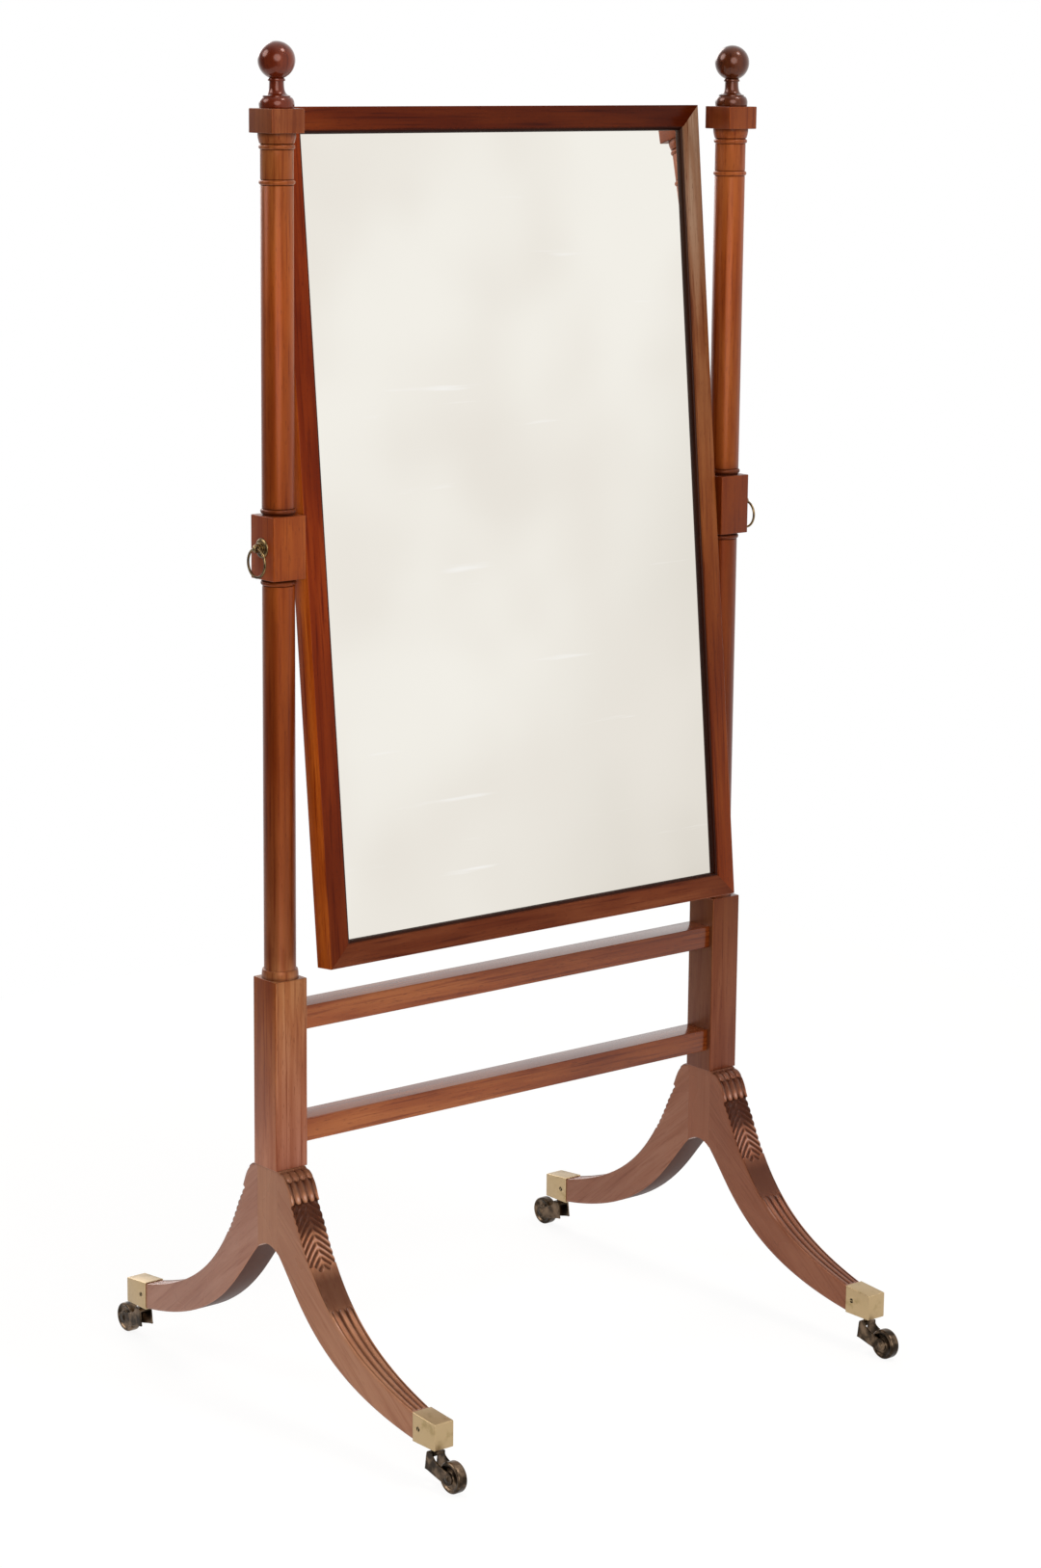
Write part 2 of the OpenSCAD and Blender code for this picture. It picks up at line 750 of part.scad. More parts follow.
// A thin board, bevelled all round on its back
module backboard() {
  y = -frame_t / 2 + board_depth;
  edge_t = backboard_t / 2 + 1;
  slope = backboard_t - edge_t;
  color("#6b4630")
    on_mirror()
      difference() {
        box([-board_w / 2, board_w / 2], [y, y + backboard_t], [-board_h / 2, board_h / 2]);
        for (side = [left, right]) {
          translate([side * board_w / 2, y + edge_t, 0])
            linear_extrude(height = board_h + 2, center = true)
              polygon([[side, 0], [side, slope + 1], [-side * backboard_bevel, slope + 1], [-side * backboard_bevel, slope], [0, 0]]);
          translate([0, y + edge_t, side * board_h / 2])
            rotate([90, 0, 90])
              linear_extrude(height = board_w + 2, center = true)
                polygon([[0, 0], [slope, -side * backboard_bevel], [slope + 1, -side * backboard_bevel], [slope + 1, side], [0, side]]);
        }
        backboard_holes();
      }
}

screw_line = (rebate_wall + rebate_w) / 2 + 0.5;
screw_depth = -frame_t / 2 + board_depth + backboard_t / 2 + 1;
module backboard_screw_places() {
  x = frame_w / 2 - screw_line;
  z = frame_h / 2 - screw_line;
  height = 2 * (z - screw_inset);
  width = 2 * (x - screw_inset);
  rows = ceil(height / screw_pitch);
  columns = ceil(width / screw_pitch);
  for (side = [left, right], i = [0 : rows])
    translate([side * x, screw_depth, i * height / rows - height / 2]) rotate([-90, 0, 0]) children();
  for (up = [-1, 1], i = [1 : columns - 1])
    translate([i * width / columns - width / 2, screw_depth, up * z]) rotate([-90, 0, 0]) children();
}

module backboard_screws() {
  color(brass) on_mirror() backboard_screw_places() wood_screw(screw_l);
}

// The plate's outer face lies in the stile's side, its outward direction along +Z here
module pivot_plate_places(side) {
  translate([side * frame_w / 2, pivot_back, 0]) rotate([0, side * 90, 0]) children();
}

module plate_blank(t, gap) {
  translate([-plate_h / 2 - gap, -plate_d / 2 - gap, 0]) cube([plate_h + 2 * gap, plate_d + 2 * gap, t]);
}

module plate_screw_places() {
  for (i = [-1, 1]) translate([i * plate_screw_gap / 2, 0, 0]) children();
}

socket_l = thread_l + 1;
module pivot_plate(side) {
  color(brass)
    on_mirror()
      pivot_plate_places(side)
        difference() {
          union() {
            translate([0, 0, -plate_t]) plate_blank(plate_t, 0);
            translate([0, 0, -socket_l]) cylinder(d = socket_d, h = socket_l);
          }
          translate([0, 0, -thread_l - 0.4]) cylinder(d = thread_d + 2 * running_gap, h = thread_l + 2);
          plate_screw_places() screw_hole(plate_screw_l);
        }
}

module pivot_plate_screws() {
  color(brass)
    on_mirror()
      for (side = [left, right]) pivot_plate_places(side) plate_screw_places() wood_screw(plate_screw_l);
}

// Turns children that are drawn along +X, outwards from the pivot block's outer face
module at_pivot_face(side) {
  at_post(side) translate([side * block_w / 2, 0, pivot_z]) rotate([0, 0, side == right ? 0 : 180]) children();
}

bore_d = shank_d + 2 * running_gap;
module bush(side) {
  color(brass)
    at_pivot_face(side)
      rotate([0, 90, 0])
        rotate_extrude()
          polygon(concat(
            [[bore_d / 2, -block_w], [bush_d / 2, -block_w], [bush_d / 2, 0], [flange_d / 2, 0]],
            curve_points(
              [flange_d / 2, 1], [flange_d / 2 - 0.5, 1.6],
              [collar_d / 2 + 2, flange_t], [collar_d / 2 + 1, flange_t], 8),
            [[bore_d / 2, flange_t]]
          ));
}

module washer(side) {
  color(brass)
    at_pivot_face(side)
      difference() {
        rod_x(washer_d, -block_w - side_gap + face_gap, -block_w - face_gap);
        rod_x(bore_d, -block_w - side_gap - 1, -block_w + 1);
      }
}

// Brass screw that clamps the mirror: thread, shank, collar, neck and a flat eye for the ring
module clamp_screw(side) {
  stile_x = -block_w - side_gap;
  collar_x = flange_t + face_gap;
  out = side == right ? backed_out : 0;
  color(brass)
    at_pivot_face(side)
      translate([out, 0, 0]) difference() {
        union() {
          rod_x(thread_d, stile_x - thread_l, stile_x + 1);
          rod_x(shank_d, stile_x + face_gap, collar_x + 1);
          rod_x(collar_d, collar_x, collar_x + collar_t);
          rod_x(eye_t + 1.5, collar_x, eye_out);
          translate([eye_out, eye_t / 2, 0]) rotate([90, 0, 0]) cylinder(d = eye_d, h = eye_t);
        }
        translate([eye_out, eye_t, 0]) rotate([90, 0, 0]) cylinder(d = wire_d + 1, h = 2 * eye_t);
      }
}

module ring_pull(side) {
  color(brass)
    at_pivot_face(side)
      translate([eye_out + (side == right ? backed_out : 0), 0, -ring_pull_d / 2])
        rotate([0, 90, 0])
          rotate_extrude() translate([ring_pull_d / 2, 0]) circle(d = wire_d, $fn = 32);
}

post(left);  // left_post
post(right);  // right_post
finial(left);  // left_finial
finial(right);  // right_finial
stretcher(upper_stretcher_up);  // upper_stretcher
stretcher(lower_stretcher_up);  // lower_stretcher
leg(left, front);  // leg_front_left
leg(right, front);  // leg_front_right
leg(left, back);  // leg_back_left
leg(right, back);  // leg_back_right
toe_cap(left, front);  // toe_cap_front_left
toe_cap(right, front);  // toe_cap_front_right
toe_cap(left, back);  // toe_cap_back_left
toe_cap(right, back);  // toe_cap_back_right
toe_cap_screws();
horn(left, front);  // horn_front_left
horn(right, front);  // horn_front_right
horn(left, back);  // horn_back_left
horn(right, back);  // horn_back_right
axle(left, front);  // axle_front_left
axle(right, front);  // axle_front_right
axle(left, back);  // axle_back_left
axle(right, back);  // axle_back_right
wheel(left, front);  // wheel_front_left
wheel(right, front);  // wheel_front_right
wheel(left, back);  // wheel_back_left
wheel(right, back);  // wheel_back_right
top_rail();
bottom_rail();
stile(left);  // left_stile
stile(right);  // right_stile
mirror_glass();
glazing_blocks();
backboard();
backboard_screws();
pivot_plate(left);  // left_pivot_plate
pivot_plate(right);  // right_pivot_plate
pivot_plate_screws();
bush(left);  // left_bush
bush(right);  // right_bush
washer(left);  // left_washer
washer(right);  // right_washer
clamp_screw(left);  // left_clamp_screw
clamp_screw(right);  // right_clamp_screw
ring_pull(left);  // left_ring_pull
ring_pull(right);  // right_ring_pull
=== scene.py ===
import math

import bmesh
import bpy
import numpy as np
from mathutils import Matrix, Vector


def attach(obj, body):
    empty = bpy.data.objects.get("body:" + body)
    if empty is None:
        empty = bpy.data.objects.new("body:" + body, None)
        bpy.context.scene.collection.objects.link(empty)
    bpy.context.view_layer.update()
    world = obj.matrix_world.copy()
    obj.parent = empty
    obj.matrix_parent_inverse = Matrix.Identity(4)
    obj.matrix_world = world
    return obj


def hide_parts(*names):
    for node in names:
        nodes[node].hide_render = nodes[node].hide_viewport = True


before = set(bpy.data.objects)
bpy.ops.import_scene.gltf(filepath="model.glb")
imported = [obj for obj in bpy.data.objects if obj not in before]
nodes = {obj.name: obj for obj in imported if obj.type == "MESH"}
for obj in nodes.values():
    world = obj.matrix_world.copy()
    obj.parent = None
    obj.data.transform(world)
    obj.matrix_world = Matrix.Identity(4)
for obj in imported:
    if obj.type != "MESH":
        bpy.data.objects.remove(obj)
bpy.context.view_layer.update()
scene = bpy.context.scene
scene.view_settings.view_transform = "Standard"

# The studio: white on the right and dim on the left, over a pale floor that keeps only a breath of
# shadow. The camera and the looking glass see it white all round. Polished wood and metal see bright
# patches of it where three of the lamps stand, and one more for a high window, that the balls show.
pure_white, lamp_white, warm_white = "#ffffff", "#fffaf4", "#fff8ee"
front_lamp_at = (-2.3, -3.9, 1.25)
smooth = {"interpolation_type": "SMOOTHSTEP"}


def linear(hex_colour):
    """An sRGB hex colour as linear red, green, blue and alpha."""
    c = [int(hex_colour[i : i + 2], 16) / 255 for i in (1, 3, 5)]
    return tuple(v / 12.92 if v <= 0.04045 else ((v + 0.055) / 1.055) ** 2.4 for v in c) + (1.0,)


def add_node(tree, kind, settings=(), **inputs):
    """Adds a node. A setting is an attribute; an input is a value or another node's output, and _0
    stands for input number 0."""
    made = tree.nodes.new("ShaderNode" + kind)
    for name, value in dict(settings).items():
        setattr(made, name, value)
    for name, value in inputs.items():
        socket = made.inputs[int(name[1:]) if name[1:].isdigit() else name.replace("_", " ")]
        if isinstance(value, bpy.types.NodeSocket):
            tree.links.new(value, socket)
        else:
            socket.default_value = value
    return made


def fresh(owner):
    """Turns on nodes and empties the tree of a material or a world."""
    owner.use_nodes = True
    owner.node_tree.nodes.clear()
    return owner.node_tree


def ray_share(tree, *kinds):
    """1 for the named kinds of ray and 0 for all others."""
    path = add_node(tree, "LightPath")
    share = path.outputs[kinds[0]]
    for kind in kinds[1:]:
        share = add_node(tree, "Math", {"operation": "MAXIMUM"}, _0=share, _1=path.outputs[kind]).outputs[0]
    return share


world = bpy.data.worlds.new("studio")
scene.world = world
tree = fresh(world)
heading = add_node(tree, "TexCoord").outputs["Generated"]
across = add_node(tree, "SeparateXYZ", Vector=heading).outputs[0]

# The wall as polished surfaces see it, dim on the left, and the share of it that lights matt ones.
wall = add_node(tree, "MapRange", smooth, Value=across, From_Min=-0.8, From_Max=0.1, To_Min=0.15).outputs[0]
shade = add_node(tree, "MapRange", smooth, Value=across, From_Min=0.2, From_Max=1.0, To_Min=0.74, To_Max=0.3)
power = add_node(tree, "Math", {"operation": "MULTIPLY"}, _0=wall, _1=shade.outputs[0])
light = add_node(tree, "Background", Color=linear(pure_white), Strength=power.outputs[0])

# The patches: the way to each, the cosines of the angles out to its rim and to its full part, and its
# strength.
patches = {"front_lamp": (front_lamp_at, 0.90, 0.97, 4.2),
           "back_lamp": ((0.8, 4.2, 1.5), 0.94, 0.975, 3.5),
           "carving_lamp": ((0.84, -1.5, 2.55), 0.985, 0.996, 14.0),
           "high_window": ((-0.72, 0.46, 0.52), 0.94, 0.98, 5.5)}
gleam = wall
for towards, rim, full, strength in patches.values():
    towards = Vector(towards).normalized()
    nearness = add_node(tree, "VectorMath", {"operation": "DOT_PRODUCT"}, _0=heading, _1=towards).outputs[1]
    patch = add_node(tree, "MapRange", smooth, Value=nearness, From_Min=rim, From_Max=full, To_Max=strength)
    gleam = add_node(tree, "Math", {"operation": "ADD"}, _0=gleam, _1=patch.outputs[0]).outputs[0]
mirrored = add_node(tree, "Background", Color=linear(pure_white), Strength=gleam)
white = add_node(tree, "Background", Color=linear(pure_white), Strength=1.0)
glossy = ray_share(tree, "Is Glossy Ray")
both = add_node(tree, "MixShader", _0=glossy, _1=light.outputs[0], _2=mirrored.outputs[0])
plain = ray_share(tree, "Is Camera Ray", "Is Transmission Ray", "Is Singular Ray")
both = add_node(tree, "MixShader", _0=plain, _1=both.outputs[0], _2=white.outputs[0])
add_node(tree, "OutputWorld", Surface=both.outputs[0])

floor_half, floor_glow, glow_share = 1.8, 1.06, 0.84
floor_paint = bpy.data.materials.new("pale_floor")
tree = fresh(floor_paint)
matt = add_node(tree, "BsdfDiffuse", Color=linear("#f4f2ef"))
glow = add_node(tree, "Emission", Color=linear(pure_white), Strength=floor_glow)
seen = ray_share(tree, "Is Camera Ray", "Is Glossy Ray")
share = add_node(tree, "Math", {"operation": "MULTIPLY"}, _0=seen, _1=glow_share)
mixed = add_node(tree, "MixShader", _0=share.outputs[0], _1=matt.outputs[0], _2=glow.outputs[0])
add_node(tree, "OutputMaterial", Surface=mixed.outputs[0])
floor_mesh = bpy.data.meshes.new("floor")
corners = [(x * floor_half, y * floor_half, 0) for x, y in ((-1, -1), (1, -1), (1, 1), (-1, 1))]
floor_mesh.from_pydata(corners, [], [(0, 1, 2, 3)])
floor_mesh.materials.append(floor_paint)
floor = bpy.data.objects.new("floor", floor_mesh)
scene.collection.objects.link(floor)


def soft_light(name, place, aim, width, watts, colour):
    """A round lamp at a place, turned towards its aim. Reflections show the world's patches instead."""
    lamp = bpy.data.lights.new(name, "AREA")
    lamp.shape = "DISK"
    lamp.size = width
    lamp.energy = watts
    lamp.color = linear(colour)[:3]
    holder = bpy.data.objects.new(name, lamp)
    holder.location = place
    holder.rotation_euler = (Vector(aim) - Vector(place)).to_track_quat("-Z", "Y").to_euler()
    holder.visible_glossy = False
    scene.collection.objects.link(holder)


# A large soft light stands in front, a weaker one behind, one hangs overhead, and a small one lights
# the carving.
soft_light("front_softbox", front_lamp_at, (0, 0, 1.0), 3.2, 130, lamp_white)
soft_light("back_softbox", (0.8, 4.2, 2.4), (0, 0, 0.8), 2.4, 50, lamp_white)
soft_light("top_softbox", (-2.5, 0.7, 3.5), (0, 0, 1.2), 1.2, 20, lamp_white)
soft_light("carving_lamp", (0.5, -1.65, 2.8), (0, -0.1, 0.2), 0.7, 18, warm_white)

# The camera, where a fit to the photograph's straight edges puts it: 4.3 m off, 40 degrees round to
# the left and 12 degrees down, with a long lens.
around, down, roll = math.radians(-39.57), math.radians(11.70), math.radians(0.57)
camera_at, lens_mm = (-2.69962, -3.28820, 1.59927), 82.06
forward = Vector((-math.sin(around) * math.cos(down), math.cos(around) * math.cos(down), -math.sin(down)))
level = Vector((math.cos(around), math.sin(around), 0))
upright = level.cross(forward)
to_right = level * math.cos(roll) + upright * math.sin(roll)
to_top = upright * math.cos(roll) - level * math.sin(roll)
lens = bpy.data.cameras.new("camera")
lens.lens = lens_mm
lens.sensor_width = 36
camera = bpy.data.objects.new("camera", lens)
turned_to = Matrix((to_right, to_top, -forward)).transposed().to_4x4()
camera.matrix_world = Matrix.Translation(camera_at) @ turned_to
scene.collection.objects.link(camera)
scene.camera = camera

# The two posts, each one square stick of mahogany, in mm. The blocks keep their flat faces, just broken
# at the edges, and the columns between are turned, with small mouldings at their ends. Below the lower
# block the stick goes on as a core that the legs are dovetailed to.
sides = {"left": -1, "right": 1}
ends = {"front": -1, "back": 1}
post_x, stock = 343, 45
lower_block, pivot_block, cap_block = (303, 531), (1000, 1073), (1499.5, 1526.5)
column_r, bead_r, flare_r = 18.75, 20.5, 21.5
bead_off, column_off, ring_below_cap = 4.5, 8.2, 54
core_half, core_room, leg_root = 20, 0.05, 39
fork_z, fork_r, fork_start = 178, 30, 48.19


def curve(a, b, c, d, steps=12):
    """Points on a cubic curve from a to d, that leaves towards b and arrives from c."""
    t = np.linspace(0, 1, steps)[:, None]
    a, b, c, d = (np.array(v, float) for v in (a, b, c, d))
    return ((1 - t) ** 3 * a + 3 * (1 - t) ** 2 * t * b + 3 * (1 - t) * t * t * c + t**3 * d).tolist()


def arc(centre, r, start, end, steps=12):
    """Points on an arc about centre, its angles in degrees from the first axis."""
    t = np.radians(np.linspace(start, end, steps))
    return np.stack([centre[0] + r * np.cos(t), centre[1] + r * np.sin(t)], -1).tolist()


def shell(grid, endless=False):
    """Skin of a grid of points. Each row is a closed loop joined to the next row. The first and last
    rows are shut with a flat face, or joined to each other if the grid is endless."""
    rows, cols = grid.shape[:2]
    i, j = np.meshgrid(np.arange(rows if endless else rows - 1), np.arange(cols), indexing="ij")
    n, k = (i + 1) % rows, (j + 1) % cols
    faces = np.stack([i * cols + j, i * cols + k, n * cols + k, n * cols + j], -1).reshape(-1, 4).tolist()
    if not endless:
        faces += [list(range(cols)), list(range((rows - 1) * cols, rows * cols))]
    return grid.reshape(-1, 3), faces


def lathe(profile, centre=(0, 0, 0), axis="z", steps=96, bored=False):
    """A profile of (radius, height) pairs turned about an axis: x = r cos a, y = r sin a, z = height,
    with the letters changed round for the other axes. A bored one is a closed outline beside it. A
    radius of 0 is drawn as 0.002 mm and shrinks to a point when doubles are merged."""
    p = np.array(profile, float)
    p[:, 0] = np.maximum(p[:, 0], 0.002)
    a = np.linspace(0, 2 * math.pi, steps, endpoint=False)
    x, y, z = np.outer(p[:, 0], np.cos(a)), np.outer(p[:, 0], np.sin(a)), np.outer(p[:, 1], np.ones(steps))
    grid = np.stack({"z": (x, y, z), "x": (z, x, y), "y": (y, z, x)}[axis], -1) + np.array(centre, float)
    return shell(grid, endless=bored)


def rounded_box(wide, deep, r):
    """A rectangle with rounded corners, as a closed loop of 24 points about the origin."""
    t = np.radians(np.linspace(0, 90, 6))
    loop = []
    for quarter, (sx, sy) in enumerate(((1, 1), (-1, 1), (-1, -1), (1, -1))):
        a = t + quarter * math.pi / 2
        loop.append(np.stack([sx * (wide / 2 - r) + r * np.cos(a), sy * (deep / 2 - r) + r * np.sin(a)], -1))
    return np.concatenate(loop)


def stick(wide, deep, low, high, r=1.3, end_r=0.8):
    """Square timber on end: the rounded rectangle carried from low to high, and drawn in along a
    quarter circle at both ends."""
    t = np.radians(np.linspace(0, 90, 5))
    inset = np.concatenate([end_r * (1 - np.sin(t)), end_r * (1 - np.sin(t[::-1]))])
    height = np.concatenate([low + end_r * (1 - np.cos(t)), high - end_r * (1 - np.cos(t[::-1]))])
    loops = []
    for i, z in zip(inset, height):
        loop = rounded_box(wide - 2 * i, deep - 2 * i, max(r - i / 2, 0.3))
        loops.append(np.column_stack([loop, np.full(len(loop), z)]))
    return np.stack(loops)


def sawn(outline, half):
    """A flat outline of (y, z) points carried through a board that reaches half to each side in x."""
    o = np.array(outline, float)
    return shell(np.stack([np.column_stack([np.full(len(o), s * half), o]) for s in (-1, 1)]))


def at(part, place=(0, 0, 0), turn=1):
    """Moves a part. A turn of -1 first turns it half round about Z."""
    return part[0] * np.array([turn, turn, 1]) + np.array(place, float), part[1]


def piece(name, parts, body, material, stands_for, slot, sharp=35, edge=0, **tones):
    """Makes one object of parts in millimetres, with doubles merged and faces turned outwards. edge
    is the width of a bevel on its sharp edges, and tones are attributes with one value a point."""
    points, faces, start = [], [], 0
    for p, f in parts:
        points.append(p)
        faces += [[v + start for v in face] for face in f]
        start += len(p)
    mesh = bpy.data.meshes.new(name)
    mesh.from_pydata((np.concatenate(points) / 1000).tolist(), [], faces)
    for tone, values in tones.items():
        mesh.attributes.new(tone, "FLOAT", "POINT").data.foreach_set("value", np.asarray(values, np.float32))
    work = bmesh.new()
    work.from_mesh(mesh)
    bmesh.ops.remove_doubles(work, verts=work.verts, dist=5e-6)
    bmesh.ops.recalc_face_normals(work, faces=work.faces)
    work.to_mesh(mesh)
    work.free()
    mesh.shade_smooth()
    mesh.set_sharp_from_angle(angle=math.radians(sharp))
    mesh.materials.append(material)
    made = bpy.data.objects.new(name, mesh)
    scene.collection.objects.link(made)
    if edge:
        bevel = made.modifiers.new("broken_edges", "BEVEL")
        bevel.width = edge / 1000
        bevel.segments = 3
        bevel.limit_method = "ANGLE"
        bevel.angle_limit = math.radians(40)
        bevel.harden_normals = True
    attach(made, body)
    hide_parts(*stands_for)


def foot_flare(z):
    """The turned swelling on top of a block: a short drum, a hollow curve in, and a fine step."""
    inward = curve((flare_r, z + 2.5), (flare_r, z + 7.2), (bead_r + 0.5, z + 9), (bead_r, z + 10.5))
    return [(flare_r, z - 1)] + inward + [(column_r + 0.2, z + 10.9), (column_r, z + 12)]


def head_flare(z):
    """A bead, a fine groove, and the swelling out to the block above."""
    outward = curve((bead_r - 0.8, z - 11), (bead_r + 0.2, z - 7.2), (flare_r, z - 5), (flare_r, z - 2))
    return [(column_r, z - 18.6)] + arc((bead_r - 3, z - 15), 3, -80, 80) + outward + [(flare_r, z + 1)]


def bead(z, sunk=0.5):
    """A half-round ring standing out of two fine grooves."""
    return [(column_r - sunk, z - 3.3)] + arc((bead_r - 3, z), 3, -82, 82) + [(column_r - sunk, z + 3.3)]


def painted_shade_on_turning(profile, steps=96):
    """Painted shade on a turned profile, from 0 to 1: 1 in a groove 0.5 mm deep, and 0.9 at the face of a
    block, from where it fades to 0 along the column."""
    p = np.array(profile, float)
    groove = (column_r - 0.1 - p[:, 0]) / 0.4
    block_faces = np.array([lower_block[1], *pivot_block, cap_block[0]])
    fade = np.array([5, 11, 17, 6])
    near = (np.abs(p[:, 1:] - block_faces) / fade).min(axis=1)
    return np.repeat(np.clip(np.maximum(groove, 0.9 - near), 0, 1), steps)


mix = {"data_type": "RGBA"}
multiply = {"data_type": "RGBA", "blend_type": "MULTIPLY"}


def mahogany(name, tones, along="z", lean=0.0, shift=(0, 0, 0), gloss=0.3, polish=0.5, coat=0.1, figure=1.0,
             grime=False, flank=None):
    """Cuban mahogany, planed or turned and French polished. The eye gets ribbons a finger wide that
    run with the grain, darker streaks of 3 mm between them, open pores drawn 1 mm by 12 mm, about
    three times too coarse, so that they show, and a film of amber shellac that is duller in clouds,
    where hands have rubbed it. tones gives the colour of the wood, or pairs of place along the grain in
    metres and colour, flank the painted light and shade of the surface marked flank, and figure how
    strong the grain is. Where grime is above 0 the wood is darkened as painted shade, and
    below 0 it is paled as painted highlights with some rubbed wear."""
    material = bpy.data.materials.new(name)
    tree = fresh(material)
    whole = add_node(tree, "TexCoord").outputs["Object"]
    where = add_node(tree, "Mapping", Vector=whole, Location=shift, Rotation=(lean, 0, 0)).outputs[0]

    def grain(wide, length, detail, wander=0.0):
        """Noise drawn out along the grain, its size in mm."""
        size = [1000 / wide] * 3
        size["xyz".index(along)] = 1000 / length
        scaled = add_node(tree, "Mapping", Vector=where, Scale=size).outputs[0]
        noise = add_node(tree, "TexNoise", Vector=scaled, Scale=1.0, Detail=detail, Distortion=wander)
        return noise.outputs[0]

    def toned(tones):
        """One colour, or a ramp of colours along the grain from -0.4 m to 1.6 m."""
        if isinstance(tones, str):
            return linear(tones)
        run = add_node(tree, "SeparateXYZ", Vector=whole).outputs["xyz".index(along)]
        share = add_node(tree, "Math", {"operation": "MULTIPLY_ADD"}, _0=run, _1=0.5, _2=0.2).outputs[0]
        ramp = add_node(tree, "ValToRGB", Fac=share)
        stops = ramp.color_ramp.elements
        for stop, (place, tone) in ((stops[0], tones[0]), (stops[1], tones[-1])):
            stop.position, stop.color = place / 2 + 0.2, linear(tone)
        for place, tone in tones[1:-1]:
            stops.new(place / 2 + 0.2).color = linear(tone)
        return ramp.outputs[0]

    colour = toned(tones)
    if flank:
        marked = add_node(tree, "Attribute", {"attribute_name": "flank"}).outputs["Fac"]
        colour = add_node(tree, "Mix", mix, _0=marked, _6=colour, _7=toned(flank)).outputs[2]
    cloud = grain(wide=90, length=230, detail=2)
    ribbons = (grain(wide=13, length=170, detail=3, wander=0.5), 0.36, 0.66, figure, "#e2cdbf")
    streaks = (grain(wide=3, length=110, detail=4), 0.50, 0.74, 0.8 * figure, "#ad7a60")
    clouds = (cloud, 0.62, 0.36, 0.8 * figure, "#d4beb0")
    for pattern, low, high, most, tint in (ribbons, streaks, clouds):
        share = add_node(tree, "MapRange", smooth, Value=pattern, From_Min=low, From_Max=high, To_Max=most)
        colour = add_node(tree, "Mix", multiply, _0=share.outputs[0], _6=colour, _7=linear(tint)).outputs[2]
    fine = grain(wide=1.0, length=12, detail=2)
    pores = add_node(tree, "MapRange", smooth, Value=fine, From_Min=0.60, From_Max=0.72).outputs[0]
    fill = add_node(tree, "Math", {"operation": "MULTIPLY"}, _0=pores, _1=0.5 * figure).outputs[0]
    colour = add_node(tree, "Mix", multiply, _0=fill, _6=colour, _7=linear("#8a5a48")).outputs[2]
    rough = add_node(tree, "MapRange", smooth, Value=cloud, From_Min=0.35, From_Max=0.7, To_Min=gloss - 0.05,
                     To_Max=gloss + 0.08).outputs[0]
    # Painted shade: marked values above 0 darken the wood towards #3c2010. Painted highlights with some
    # rubbed wear: values below 0 pale it towards #cbada4.
    if grime:
        painted_shading_values = add_node(tree, "Attribute", {"attribute_name": "grime"}).outputs["Fac"]
        dull = add_node(tree, "MapRange", smooth, Value=painted_shading_values, From_Min=0.2, To_Max=0.35).outputs[0]
        rough = add_node(tree, "Math", {"operation": "ADD"}, _0=rough, _1=dull).outputs[0]
        dark = add_node(tree, "MapRange", smooth, Value=painted_shading_values, To_Max=0.95).outputs[0]
        colour = add_node(tree, "Mix", multiply, _0=dark, _6=colour, _7=linear("#3c2010")).outputs[2]
        pale_glint_and_wear = add_node(tree, "MapRange", smooth, Value=painted_shading_values, From_Min=-0.05, From_Max=-0.9, To_Max=0.6)
        colour = add_node(tree, "Mix", mix, _0=pale_glint_and_wear.outputs[0], _6=colour, _7=linear("#cbada4")).outputs[2]
    bump = add_node(tree, "Bump", {"invert": True}, Strength=0.2, Distance=0.0002, Height=pores)
    finish = add_node(tree, "BsdfPrincipled", Base_Color=colour, Roughness=rough, Normal=bump.outputs[0],
                      Specular_IOR_Level=polish, Specular_Tint=linear("#ff8e5c"), Coat_Weight=coat,
                      Coat_Roughness=0.12)
    add_node(tree, "OutputMaterial", Surface=finish.outputs[0])
    return material


# The posts' colours from the lower block up, and those of the blocks' left-hand faces, with painted light and
# shade in both.
# The left post is painted the paler, and the right one is painted dark up to its pivot, as shade.
post_tones_and_painted_light = {
    "left": [(0.31, "#9e6e5c"), (0.52, "#996a45"), (0.56, "#774629"), (0.78, "#763913"), (1.00, "#7c3b14"),
             (1.01, "#884418"), (1.06, "#884418"), (1.08, "#7c3b14"), (1.16, "#803e16"), (1.33, "#98501f"),
             (1.47, "#92572c"), (1.51, "#784428")],
    "right": [(0.31, "#724430"), (0.52, "#5c3218"), (0.56, "#5a270c"), (0.95, "#5c290e"), (1.00, "#622a0b"),
              (1.07, "#622a0b"), (1.09, "#773d15"), (1.22, "#7e421b"), (1.35, "#8e4a1d"), (1.47, "#864722"),
              (1.51, "#6c3314")]}
side_face_painted_light = {
    "left": [(0.31, "#b47a5c"), (0.42, "#985a32"), (0.52, "#7c3c10"), (1.0, "#98481c"), (1.5, "#784224")],
    "right": [(0.31, "#643e2a"), (0.52, "#54321c"), (1.0, "#622a0b"), (1.5, "#6c3314")]}
# The legs' colours, painted paler on the left and darker on the right, as light and shade. The post cores
# take the front legs' colours.
leg_tones_and_painted_light = {"front_left": "#a27458", "front_right": "#8b5c46",
             "back_left": "#a67c6a", "back_right": "#8f6450"}
